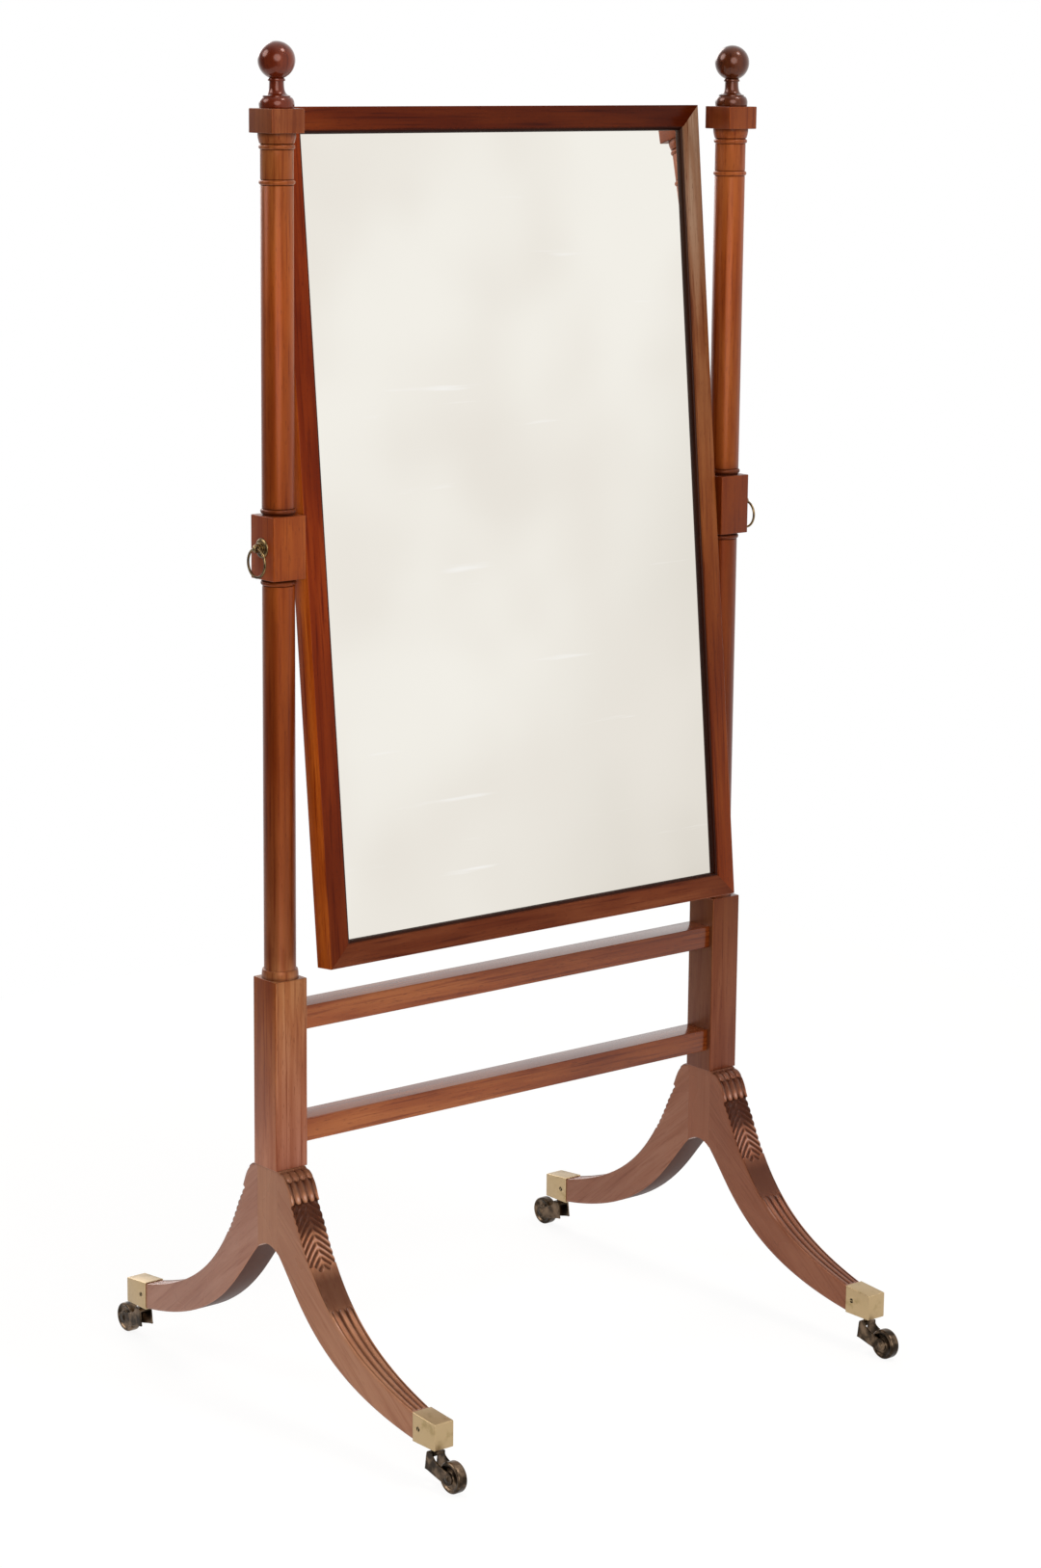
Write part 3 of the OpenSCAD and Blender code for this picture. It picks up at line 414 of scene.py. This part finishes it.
for name, side in sides.items():
    x = side * post_x
    below, above = pivot_block
    ring_z = cap_block[0] - ring_below_cap
    lower = foot_flare(lower_block[1]) + [(column_r, z) for z in (760, below - 18, below - column_off)]
    lower += bead(below - bead_off)[1:] + [(column_r - 0.8, below + 1)]
    upper = [(column_r - 0.8, above - 1)] + bead(above + bead_off)[:-1]
    upper += [(column_r, above + h) for h in (column_off, 12, 18)] + [(column_r, ring_z - 3.9)]
    upper += bead(ring_z, 0.4) + [(column_r, ring_z + 3.9)] + head_flare(cap_block[0])
    blocks = [stick(stock, stock, *block) for block in (lower_block, pivot_block, cap_block)]
    parts = [at(shell(block), (x, 0, 0)) for block in blocks]
    # The blocks' left-hand faces, marked flank for painted light and shade of their own.
    faces = np.concatenate([part[0] for part in parts])[:, 0] < x - stock / 2 + 0.3
    parts += [lathe(lower, (x, 0, 0)), lathe(upper, (x, 0, 0))]
    # Painted shade in the grooves and next to the blocks.
    turned = np.concatenate([painted_shade_on_turning(lower), painted_shade_on_turning(upper)])
    wood = mahogany(f"french_polished_mahogany_{name}_post", post_tones_and_painted_light[name], shift=(side, 0, 0), gloss=0.38,
                    polish=0.7, grime=True, flank=side_face_painted_light[name])
    piece(f"{name}_post_turned", parts, "stand", wood, [f"{name}_post"], "mahogany",
          grime=np.concatenate([0 * faces, turned]), flank=np.concatenate([faces, 0 * turned]))

    fork = arc((0, fork_z), fork_r, 180 - fork_start, fork_start, 30)
    core = [(-core_half, 303.5), (-core_half, 200.4)] + fork + [(core_half, 200.4), (core_half, 303.5)]
    wood = mahogany(f"french_polished_mahogany_{name}_core", leg_tones_and_painted_light[f"front_{name}"], shift=(side, 0, 0),
                    coat=0.12, figure=0.3)
    piece(f"{name}_post_core", [at(sawn(core, leg_root / 2), (x, 0, 0))], "stand", wood, [f"{name}_post"],
          "mahogany")

# The two finials, turned from offcuts of the same wood: a ball on a thin neck over a moulded foot, with
# a dowel that goes down into the cap block. The left one is the redder.
finial_tones = {"left": "#6a2a12", "right": "#4a220c"}
ball_up, ball_r, neck_r, foot_r, dowel_r, dowel_deep = 52.5, 21, 8.25, 19, 7, 21
for name, side in sides.items():
    z = cap_block[1]
    ball_z = z + ball_up
    start = math.degrees(math.acos(neck_r / ball_r))
    dowel = [(0, z - dowel_deep), (dowel_r, z - dowel_deep), (dowel_r, z)]
    foot = [(foot_r, z)] + curve((19.4, z + 0.5), (20.4, z + 4), (20.2, z + 9), (17, z + 12))
    foot += [(15.5, z + 12.2), (15.5, z + 13.8)]
    neck = curve((14.5, z + 14), (9.75, z + 15.5), (neck_r, z + 19), (neck_r, ball_z - 22.8))
    collar = [(neck_r + 1.3, ball_z - 22.6), (neck_r + 1.6, ball_z - 21.6), (neck_r + 1.2, ball_z - 20.2)]
    profile = dowel + foot + neck + collar + arc((0, ball_z), ball_r, -start, 90, 48)
    wood = mahogany(f"french_polished_mahogany_{name}_finial", finial_tones[name], shift=(side * 0.4, 0.2, 0),
                    gloss=0.25, polish=0.4, coat=0.5)
    piece(f"{name}_finial_turned", [lathe(profile, (side * post_x, 0, 0))], "stand", wood, [f"{name}_finial"],
          "mahogany")

# The two stretchers, planed from mahogany to 37 by 28 mm with broken edges, and stub-tenoned into the
# lower blocks. Their tops are bright with polish, and they are painted paler towards the left and darker
# towards the right, as light and shade.
bar_deep, bar_high, bar_half, bar_back = 37, 28, 320.4, 2
bar_tones_and_painted_shade = [(-0.32, "#9c5c32"), (0.32, "#6e3412")]
for name, low in (("upper_stretcher", 467), ("lower_stretcher", 330)):
    bar = stick(bar_deep, bar_high, -bar_half, bar_half, 1.6, 0.2)
    bar = np.stack([bar[..., 2], bar[..., 0] + bar_back, bar[..., 1] + low + bar_high / 2], -1)
    wood = mahogany(f"french_polished_mahogany_{name}", bar_tones_and_painted_shade, "x", shift=(0, 0, low / 300), gloss=0.22,
                    polish=0.15, coat=0.55)
    piece(f"{name}_planed", [shell(bar)], "stand", wood, [name], "mahogany")

# The four sabre legs, each sawn from a plank and carved on its upper face: two tiers of tongues and
# a leaf of slanting lobes over the knee, a plain break, and three reeds that run down into the brass.
reach, toe_low, toe_high, toe_end, toe_half = 272, 48, 80, 311.3, 12
root_z, leg_back, knee, heel = lower_block[0], core_half + core_room, (45, 284), (20.05, 200.36)
leaf_end, reeds_start, reed_half, deepest = 133, 180, 0.88, 4.2
broken, rows, cols = 1.2, 620, 61


def between(a, b, share):
    """A point between two corners, with its own share of the way in each direction."""
    return (a[0] + (b[0] - a[0]) * share[0], a[1] + (b[1] - a[1]) * share[1])


def even(line):
    """Points at even steps along a line, and how far along it each lies."""
    line = np.array(line)
    run = np.concatenate([[0], np.cumsum(np.hypot(*np.diff(line, axis=0).T))])
    s = np.linspace(0, run[-1], rows)
    return np.stack([np.interp(s, run, line[:, 0]), np.interp(s, run, line[:, 1])], -1), s


def half_round(share):
    """Height of a row of half circles side by side, from 0 between them to 1 on top."""
    return np.sqrt(np.maximum(1 - (2 * (share % 1) - 1) ** 2, 0))


def carved_depth(s, v):
    """Depth in mm below the leg's upper face, s mm down it and at the share v of its half width. A
    tongue is a half-round, deepest at its root, that overhangs the next tier. The leaf's lobes are
    half-rounds that fall away on both sides of a midrib, and the reeds lie side by side. The tiers end
    24 and 51 mm down, and the lobes are 9 mm wide and slant by 18 mm from the midrib to the edge."""
    one, two = half_round(2 * (v + 1)), half_round(2 * (v + 1) + 0.5)
    end_one, end_two = 17 + 7 * one, 42 + 9 * two
    tier_one = 0.4 + 1.5 * (1 - one) + 1.2 * np.clip((12 - s) / 12, 0, 1)
    tier_two = 0.3 + 1.9 * (1 - two) + 2.0 * np.clip(1 - (s - end_one) / 20, 0, 1) ** 1.5
    lobes = np.abs(np.sin(math.pi * (s - 18 * np.abs(v) ** 1.2) / 9)) ** 0.9
    rib = np.exp(-((v / 0.1) ** 2))
    leaf = 0.3 + 2.1 * (1 - lobes) * (1 - 0.8 * rib) + 2.8 * np.clip(1 - (s - end_two) / 26, 0, 1) ** 1.3
    tip = leaf_end - 9 * np.abs(v) ** 2 - 2 * np.cos(math.pi * v * 3)
    cut = np.minimum(np.where(s < end_one, tier_one, np.where(s < end_two, tier_two, leaf)), deepest)
    cut = cut * np.clip((s - 3) / 3, 0, 1) * np.clip((tip - s) / 1.6, 0, 1)
    reed = half_round(3 * (v + reed_half) / (2 * reed_half))
    head = np.clip((s - reeds_start - 6 * (1 - reed)) / 1.6, 0, 1) * (np.abs(v) < reed_half)
    return cut + head * (0.3 + 2.0 * (1 - reed))


def leg_painted_shading(s, v, carving):
    """Painted shading on the carved face, 0 on its outermost lines: painted shade, more in the stretches
    painted darkest and the deeper the cut, and less than 0 on the crests, as painted highlights with some
    rubbed wear."""
    painted_top_shade = np.interp(s, [0, 50, 60, 78, 90, 130, 145, 180, 215, 320],
                     [0.55, 0.6, 0.95, 0.9, 0.65, 0.65, 0.92, 0.88, 0.55, 0.6])
    # Painted highlights, with some rubbed wear, on the crests at these places.
    painted_glint_and_wear = np.exp(-(((s - 45) / 5) ** 2)) + 0.95 * np.exp(-(((s - 106) / 18) ** 4))
    painted_glint_and_wear += 0.7 * np.exp(-(((s - 201) / 13) ** 2)) + 0.35 * np.clip((s - 205) / 10, 0, 1)
    crest = np.clip((0.72 - carving) / 0.5, 0, 1)
    painted_shading_values = painted_top_shade[:, None] + 0.16 * (carving - 0.8) - 1.4 * crest * painted_glint_and_wear[:, None]
    return np.clip(painted_shading_values, -1, 1) * (np.abs(v) < 0.999)


def sabre_leg(side, end):
    """A leg as loops round its section from the post to the toe. Each loop has a carved upper row and
    a plain underside, and its flat sides draw closer together towards the toe."""
    shoulder, toe, toe_under = (stock / 2, root_z), (reach, toe_high), (reach, toe_low)
    turn_out = curve((stock / 2 + 1, root_z), between(shoulder, knee, (0.5, 0.05)),
                     between(shoulder, knee, (0.78, 0.3)), knee, 40)
    sweep = curve(knee, between(knee, toe, (0.19, 0.56)), between(knee, toe, (0.41, 0.83)), toe, 160)
    below = curve(heel, between(heel, toe_under, (0.18, 0.31)), between(heel, toe_under, (0.30, 0.81)),
                  toe_under, 160)
    top, s = even([(leg_back, root_z)] + turn_out + sweep[1:] + [(toe_end, toe_high - 3.35)])
    under, _ = even(below + [(toe_end, toe_low)])
    half = np.interp(top[:, 0], [60, reach], [leg_root / 2, toe_half])[:, None]
    slope = np.gradient(top, axis=0)
    inward = np.stack([slope[:, 1], -slope[:, 0]], -1) / np.hypot(*slope.T)[:, None]
    v = np.linspace(-1, 1, cols)[None, :]
    v = 0.55 * np.sin(v * math.pi / 2) + 0.45 * v
    carving = carved_depth(s[:, None], v) * np.clip((s[-1] - 42 - s) / 2, 0, 1)[:, None]
    in_from_edge = np.clip(broken - (1 - np.abs(v)) * half, 0, broken)
    depth = carving + broken - np.sqrt(broken**2 - in_from_edge**2)
    upper = np.stack([v * half, *(top[:, i, None] + inward[:, i, None] * depth for i in (0, 1))], -1)
    flank = [np.column_stack([turn * half[:, 0], top + inward * 6]) for turn in (1, -1)]
    edge = [(0, 4), (0, 1.2), (0.35, 0.35), (1.2, 0)]
    lower = [np.stack([turn * (half[:, 0] - tuck), under[:, 0], under[:, 1] + lift], -1)
             for turn, corner in ((1, edge), (-1, edge[::-1])) for tuck, lift in corner]
    rest = np.stack([flank[0], *lower, flank[1]], 1)
    grid = np.concatenate([upper, rest], 1) * np.array([1, end, 1]) + np.array([side * post_x, 0, 0])
    # The underside is painted in shade.
    underside_painted_shade = np.zeros((rows, rest.shape[1]))
    underside_painted_shade[:, 4:6] = 0.95
    return shell(grid), np.concatenate([leg_painted_shading(s, v, carving), underside_painted_shade], 1).ravel()


grain_slope = 0.67
feet = [(f"{end_name}_{side_name}", side, end)
        for side_name, side in sides.items() for end_name, end in ends.items()]
for where, side, end in feet:
    wood = mahogany(f"french_polished_mahogany_{where}_leg", leg_tones_and_painted_light[where], "y", end * grain_slope,
                    (side, end, 0), coat=0.12, figure=0.5, grime=True)
    leg, painted_shading_values = sabre_leg(side, end)
    piece(f"leg_{where}_carved", [leg], "stand", wood, [f"leg_{where}"], "mahogany", sharp=60, grime=painted_shading_values)

# The brass box caps, cast, filed flat and polished, then gone dull and a little brown in patches.
# Under each is a round boss for the swivel pin, and a countersunk screw on each side holds it on.
cap_end, cap_wall, cap_room, toe_drop, toe_length = 313, 1.5, 0.15, 3.5, 41
swivel_y, cap_screw_y, cap_screw_z, screw_r = 298, 282.25, 64, 3


def brass(name, clean, tarnish, rough, much=0.5):
    """Yellow brass, gone dull. The eye gets a warm pale metal with clouds of brown tarnish 14 mm wide
    and a haze of scratches from cleaning, drawn 1.5 mm wide so that it shows. much is how far the
    tarnish has spread, from 0 to 1."""
    material = bpy.data.materials.new(name)
    tree = fresh(material)
    where = add_node(tree, "TexCoord").outputs["Object"]
    cloud = add_node(tree, "TexNoise", Vector=where, Scale=1000 / 14, Detail=4.0).outputs[0]
    fine = add_node(tree, "TexNoise", Vector=where, Scale=1000 / 1.5, Detail=2.0).outputs[0]
    share = add_node(tree, "MapRange", smooth, Value=cloud, From_Min=0.75 - much * 0.5,
                     From_Max=0.95 - much * 0.4).outputs[0]
    colour = add_node(tree, "Mix", mix, _0=share, _6=linear(clean), _7=linear(tarnish)).outputs[2]
    dull = add_node(tree, "MapRange", Value=fine, To_Min=rough - 0.08, To_Max=rough + 0.12).outputs[0]
    bump = add_node(tree, "Bump", Strength=0.15, Distance=0.0001, Height=fine).outputs[0]
    finish = add_node(tree, "BsdfPrincipled", Base_Color=colour, Metallic=1.0, Roughness=dull, Normal=bump)
    add_node(tree, "OutputMaterial", Surface=finish.outputs[0])
    return material


def box_cap(y, grow, r=0.8):
    """Loop round the toe at a distance y: a rounded rectangle, grown all round, with a falling top."""
    top = toe_high - toe_drop * (y - reach) / toe_length + grow
    loop = rounded_box(2 * toe_half + 2 * grow, top - (toe_low - grow), r)
    return np.column_stack([loop[:, 0], np.full(len(loop), y), loop[:, 1] + (top + toe_low - grow) / 2])


def screw(r, length):
    """A countersunk wood screw along -Z, its head at the origin: a cone with two half discs on it, and
    the slot between them."""
    shank = [(0, -length), (r / 2, 3 - length), (r / 2, -r / 2 - 0.5), (r, -0.45), (0, -0.45)]
    parts = [lathe(shank, steps=28)]
    t = np.linspace(0.16, math.pi - 0.16, 14)
    for s in (-1, 1):
        half = np.stack([(r - 0.1) * np.cos(t), s * (r - 0.1) * np.sin(t)], -1)
        parts.append(shell(np.stack([np.column_stack([half, np.full(len(t), z)]) for z in (-0.5, 0.0)])))
    return parts


def placed(parts, matrix):
    """Parts with each point turned and moved by a matrix: its rotation times the point, plus its shift."""
    m = np.array(matrix)
    return [(p @ m[:3, :3].T + m[:3, 3], f) for p, f in parts]


cap_brass = brass("dull_cast_brass_caps", "#b89f79", "#a08a60", 0.34)
loops = [box_cap(toe_end + 0.1, cap_room, 0.3), box_cap(reach, cap_room, 0.3), box_cap(reach, cap_wall - 0.5),
         box_cap(reach + 0.5, cap_wall), box_cap(cap_end - 0.8, cap_wall), box_cap(cap_end - 0.25, 1.28),
         box_cap(cap_end, 0.8)]
boss_outline = [(3.05, 42.5), (5, 42.5), (5.5, 43), (5.5, 45.6), (6.3, 46.5), (6.3, 46.9), (3.05, 46.9)]
boss = lathe(boss_outline, (0, swivel_y, 0), bored=True)
cap_screws = []
for where, side, end in feet:
    parts = [at(part, (side * post_x, 0, 0), end) for part in (shell(np.stack(loops)), boss)]
    piece(f"toe_cap_{where}_brass", parts, "stand", cap_brass, [f"toe_cap_{where}"], "caster_brass", sharp=40)
    for s in (-1, 1):
        spot = (side * post_x + s * (toe_half + cap_wall), end * cap_screw_y, cap_screw_z)
        slot_turn = 0.5 + side + 2 * end + s
        turned_to = Matrix.Rotation(s * math.pi / 2, 4, "Y") @ Matrix.Rotation(slot_turn, 4, "Z")
        cap_screws += placed(screw(screw_r, 9), Matrix.Translation(spot) @ turned_to)
piece("toe_cap_screw_heads", cap_screws, "stand", cap_brass, ["toe_cap_screws"], "fittings_brass")

# The casters: a cast horn with two cheeks, its pin riveted over inside the cap, a riveted axle and a
# thick cast wheel. All are brass gone brown-black, with a few paler patches where it was rubbed.
dark_brass = brass("dark_patinated_brass", "#75614e", "#2e251c", 0.3, 0.85)
axle_y, axle_z, cheek_x, cheek_half, crown_half = 330, 18.5, 8.2, 1.1, 9.25

# The cheek and the crown are outlines seen from the side, the others halves of a section, to be turned.
cheek = [(303.5, 40.3), (293.5, 40.3)] + curve((292.5, 39.3), (290.5, 32.3), (290.5, 22.5), (289, 18.5), 10)
cheek += curve((289.8, 18), (294, 18.5), (314, 11.5), (326, 10.9), 14)
cheek += arc((axle_y, axle_z), 8, -105, 75, 20)
cheek += curve((329, 26.4), (320, 27.5), (305.5, 31.3), (303.5, 36.3), 12)
crown = [(303.5, 40.3), (293.5, 40.3), (292.3, 39.2), (291.6, 36.2), (303.5, 36.2)]
swivel = [(0, 39.8), (4.6, 39.8), (5, 40.3), (5, 42), (4.6, 42.3), (3, 42.3), (3, 46.4), (0, 46.4)]
dished = [(7.3, -5.4)] + curve((8, -4.9), (10, -4.3), (12, -4.3), (13.6, -5.2), 8) + [(14.4, -6.1)]
half_wheel = [(2.55, -6.5), (6, -6.5)] + arc((6.4, -5.9), 0.6, -90, 0, 5) + dished
half_wheel += arc((16, -4), 2.5, -115, -12, 10)
wheel = half_wheel + [(axle_z, -2.4), (axle_z, 2.4)] + [(r, -x) for r, x in half_wheel[::-1]]
half_rivet = [(0, -10.5), (2.4, -10.4), (3.6, -9.9), (4, -9.3), (2.5, -9.3)]
rivet = half_rivet + [(r, -x) for r, x in half_rivet[::-1]]
horn = [at(sawn(cheek, cheek_half), (s * cheek_x, 0, 0)) for s in (-1, 1)]
horn += [sawn(crown, crown_half), lathe(swivel, (0, swivel_y, 0))]
for where, side, end in feet:
    place, hub = (side * post_x, 0, 0), (side * post_x, end * axle_y, axle_z)
    piece(f"horn_{where}_cast", [at(part, place, end) for part in horn], f"caster_{where}", dark_brass,
          [f"horn_{where}"], "caster_brass", edge=0.6)
    piece(f"axle_{where}_riveted", [lathe(rivet, hub, "x", 36)], f"caster_{where}", dark_brass,
          [f"axle_{where}"], "caster_brass")
    piece(f"wheel_{where}_cast", [lathe(wheel, hub, "x", 72, bored=True)], f"wheel_{where}", dark_brass,
          [f"wheel_{where}"], "wheel_brass")

# The mirror's frame: four mitred lengths of mahogany moulding, with a flat face, a quarter-round
# towards the glass, and a rebate behind. It leans back 5.7 degrees about the pivots.
frame_w, frame_h, frame_t, pivot_z, pivot_behind = 634, 984, 28, 1036.5, 3
frame_lean, grain_lean = -5.7, 0.0995
leaning = Matrix.Translation((0, 0, pivot_z)) @ Matrix.Rotation(math.radians(frame_lean), 4, "X")
leaning = leaning @ Matrix.Translation((0, -pivot_behind, 0))
face = arc((1.2, 1.2), 1.2, 180, 270, 5) + [(25.6, 0), (25.8, 0.9)]
rebates = [(30, 6.5), (23, 6.5), (23, 16), (14, 16), (14, 27.4), (13.4, frame_t)]
section = np.array(face + arc((26, 5), 4, -88, 0, 10) + rebates + arc((1, frame_t - 1), 1, 90, 180, 4))
stations = 9


def mitred(length):
    """A length of moulding along X with its outer edge up, at Z = 0. Each point of the section runs
    from one mitre to the other, and so is shorter the further in it lies."""
    inward, backward = section.T
    t = np.linspace(-1, 1, stations)[:, None]
    x = t * (length / 2 - 0.05 - inward[None, :])
    return shell(np.stack([x, backward[None, :] - frame_t / 2 + 0 * t, -inward[None, :] + 0 * t], -1))


# Painted shade darkens the moulding next to the glass, and the outer edges are paler than the face, as a
# painted highlight.
# The right stile is painted pale towards its top, as a reflection.
frame_tones = {"top_rail": [(-0.31, "#70300e"), (0.0, "#561f04"), (0.31, "#4e1c04")],
               "bottom_rail": "#6e3a20",
               "left_stile": [(0.55, "#5a2208"), (0.75, "#702a0a"), (1.0, "#7a2e0a"), (1.5, "#7a2e0a")],
               "right_stile": [(0.55, "#7c3810"), (0.95, "#7c4018"), (1.25, "#7e5030"), (1.45, "#98806c")]}
rail_edge_highlight, stile_edge_highlight = "#b45c20", [(0.55, "#a04e18"), (0.8, "#cc6c26")]
# Painted shade on the quarter-round next to the glass, and a painted highlight on the outer edge.
painted_shading_values = np.clip((section[:, 0] - 25.6) / 2, 0, 1)
highlight_edge = np.clip(1 - section[:, 0] / 0.5, 0, 1)
lengths = {"top_rail": (frame_w, frame_h / 2, 0), "bottom_rail": (frame_w, frame_h / 2, 180),
           "left_stile": (frame_h, frame_w / 2, -90), "right_stile": (frame_h, frame_w / 2, 90)}
for name, (length, off, turn) in lengths.items():
    along, edge_highlight_tones = ("x", rail_edge_highlight) if "rail" in name else ("z", stile_edge_highlight)
    wood = mahogany(f"french_polished_mahogany_{name}", frame_tones[name], along, grain_lean,
                    (turn / 50, 0, 0), polish=0.15, figure=1.2, grime=True, flank=edge_highlight_tones)
    spot = leaning @ Matrix.Rotation(math.radians(turn), 4, "Y") @ Matrix.Translation((0, 0, off))
    piece(f"{name}_moulded", placed([mitred(length)], spot), "mirror", wood, [name], "mahogany", sharp=30,
          grime=np.tile(painted_shading_values, stations), flank=np.tile(highlight_edge, stations))

# The plate glass, silvered on the back: an old plate, faintly grey, wiped in streaks, with a few
# brown specks where the silver has gone. It lies 6.5 mm back in its rebate.
plate_w, plate_h, plate_y, plate_t = 586, 936, -7.5, 4.5

# The streaks are 250 mm long and 17 mm high, the clouds 300 mm wide, the specks some 90 mm apart, and a
# painted grey reflection comes in towards the lower right.
silver = bpy.data.materials.new("silvered_plate_glass")
tree = fresh(silver)
where = add_node(tree, "TexCoord").outputs["Object"]
wiped = add_node(tree, "Mapping", Vector=where, Location=(0, 0, 7), Scale=(4, 4, 60)).outputs[0]
streaks = add_node(tree, "TexNoise", Vector=wiped, Scale=1.0, Detail=3.0).outputs[0]
cloud = add_node(tree, "TexNoise", Vector=where, Scale=3.2, Detail=2.0).outputs[0]
dots = add_node(tree, "TexVoronoi", Vector=where, Scale=11.0).outputs[0]
# The painted grey reflection, coming in towards the lower right.
slanting = add_node(tree, "Mapping", Vector=where, Rotation=(0, -0.5, 0), Location=(0.5, 0, 0)).outputs[0]
painted_grey_reflection = add_node(tree, "TexGradient", Vector=slanting).outputs[1]
colour = linear("#f2efe7")
for value, low, high, tint in ((painted_grey_reflection, 0.05, 0.45, "#d4cec3"), (cloud, 0.35, 0.7, "#e8e3da"),
                               (streaks, 0.66, 0.8, "#f6f5f2"), (dots, 0.02, 0.012, "#b4aa9c")):
    share = add_node(tree, "MapRange", smooth, Value=value, From_Min=low, From_Max=high).outputs[0]
    colour = add_node(tree, "Mix", mix, _0=share, _6=colour, _7=linear(tint)).outputs[2]
finish = add_node(tree, "BsdfPrincipled", Base_Color=colour, Metallic=1.0, Roughness=0.0)
add_node(tree, "OutputMaterial", Surface=finish.outputs[0])
plate = stick(plate_w, plate_h, plate_y, plate_y + plate_t, 2, 0.6)
plate = np.stack([plate[..., 0], plate[..., 2], plate[..., 1]], -1)
piece("mirror_plate", placed([shell(plate)], leaning), "mirror", silver, ["mirror_glass"], "silvered_glass")

# The back: a thin board of plain mahogany, bevelled all round and held by slotted brass screws. In
# front of it softwood blocks pack the glass. The pivot plates are let into the stiles.
board_w, board_h, board_y, board_edge_t, board_t, board_bevel = 605.7, 955.7, 2, 5, 8, 16
screw_x, screw_span, screw_z, screw_face, slot_turn = 298, 866, 473, 7, 2.4
board_wood = mahogany("waxed_plain_mahogany_board", "#6b452e", "z", grain_lean, (3, 0, 0), gloss=0.55,
                      coat=0.0, figure=0.7)


def fielded(wide, high, edge_t, full_t, bevel):
    """Board in X and Z with its face at Y = 0, edge_t thick at its edges and full_t inside the bevel."""
    loops = []
    for inset, t in ((0, 0), (0, edge_t - 0.2), (0.3, edge_t), (bevel, full_t - 0.15), (bevel + 1, full_t)):
        loop = rounded_box(wide - 2 * inset, high - 2 * inset, 0.5)
        loops.append(np.column_stack([loop[:, 0], np.full(len(loop), t), loop[:, 1]]))
    return shell(np.stack(loops))


board = fielded(board_w, board_h, board_edge_t, board_t, board_bevel)
board = placed([board], leaning @ Matrix.Translation((0, board_y, 0)))
piece("backboard_fielded", board, "mirror", board_wood, ["backboard"], "backboard_wood", sharp=8)
fitting_brass = brass("tarnished_brass_fittings", "#8e7650", "#4a3826", 0.25, 0.75)
screws = []
spots = [(s * screw_x, i * screw_span / 4 - screw_span / 2) for s in (-1, 1) for i in range(5)]
spots += [(0, s * screw_z) for s in (-1, 1)]
for n, (x, z) in enumerate(spots):
    head = leaning @ Matrix.Translation((x, screw_face, z)) @ Matrix.Rotation(-math.pi / 2, 4, "X")
    screws += placed(screw(screw_r, 14), head @ Matrix.Rotation(n * slot_turn, 4, "Z"))
piece("backboard_screw_heads", screws, "mirror", fitting_brass, ["backboard_screws"], "fittings_brass")

# Planed pine: matt, with pale and brown rings 2 mm apart along the grain.
pine = bpy.data.materials.new("planed_pine_blocks")
tree = fresh(pine)
where = add_node(tree, "TexCoord").outputs["Object"]
scaled = add_node(tree, "Mapping", Vector=where, Scale=(500, 500, 30)).outputs[0]
rings = add_node(tree, "TexNoise", Vector=scaled, Scale=1.0, Detail=2.0).outputs[0]
colour = add_node(tree, "Mix", mix, _0=rings, _6=linear("#c79c68"), _7=linear("#a2763f")).outputs[2]
finish = add_node(tree, "BsdfPrincipled", Base_Color=colour, Roughness=0.75)
add_node(tree, "OutputMaterial", Surface=finish.outputs[0])
finishes = {"glazing_blocks": pine, "left_pivot_plate": fitting_brass, "right_pivot_plate": fitting_brass,
            "pivot_plate_screws": fitting_brass, "left_washer": cap_brass, "right_washer": cap_brass}
for node, material in finishes.items():
    for slot in nodes[node].material_slots:
        slot.material = material

# The pivots: a brass bush with a domed flange goes through each block, a clamp screw turns in it, and
# a loose ring hangs in the screw's eye. The right-hand screw is backed out a few turns.
face_x, eye_out, eye_r, ring_r, wire_r = post_x + stock / 2, 8, 3.5, 16.5, 1.5
backed_out = {"left": 0, "right": 8}
dome = curve((11.3, 1.2), (10.6, 1.9), (8.5, 2.5), (7.5, 2.5), 10)
bush = [(4.05, -45), (6.5, -45), (6.5, 0), (11.5, 0), (11.5, 0.8)] + dome
bush += [(7.2, 2.2), (6.9, 2.2), (6.6, 2.5), (4.05, 2.5)]
shaft = [(0, -59.5), (2.6, -59.5), (3, -58.8), (3, -48.3), (4, -48.3), (4, 2.7), (6.1, 2.7), (6.5, 3.1),
         (6.5, 4.3), (6.1, 4.7), (3.2, 4.7), (2.9, 6), (0, 6)]


def hoop(mean, half_a, half_b, steps, section_steps=20):
    """Ring in the X-Z plane about Y: an oval of half widths a and b carried round a circle."""
    u = np.linspace(0, 2 * math.pi, steps, endpoint=False)[:, None]
    w = np.linspace(0, 2 * math.pi, section_steps, endpoint=False)[None, :]
    r = mean + half_a * np.cos(w)
    return shell(np.stack([r * np.cos(u), half_b * np.sin(w) + 0 * u, r * np.sin(u)], -1), endless=True)


for name, side in sides.items():
    out = backed_out[name]
    outward = Matrix.Translation((side * face_x, 0, pivot_z))
    if side < 0:
        outward = outward @ Matrix.Rotation(math.pi, 4, "Z")
    bush_parts = placed([lathe(bush, axis="x", steps=72, bored=True)], outward)
    piece(f"{name}_bush_turned", bush_parts, "stand", fitting_brass, [f"{name}_bush"], "fittings_brass")
    parts = [lathe(shaft, axis="x", steps=48), at(hoop(eye_r, wire_r, 2.25, 40, 16), (eye_out, 0, 0))]
    piece(f"{name}_clamp_screw_turned", placed(parts, outward @ Matrix.Translation((out, 0, 0))),
          f"{name}_clamp", fitting_brass, [f"{name}_clamp_screw"], "fittings_brass")
    hanging = Matrix.Translation((eye_out + out, 0, -ring_r)) @ Matrix.Rotation(math.pi / 2, 4, "Z")
    piece(f"{name}_ring_pull_bent", placed([hoop(ring_r, wire_r, wire_r, 96)], outward @ hanging),
          f"{name}_ring", fitting_brass, [f"{name}_ring_pull"], "fittings_brass")
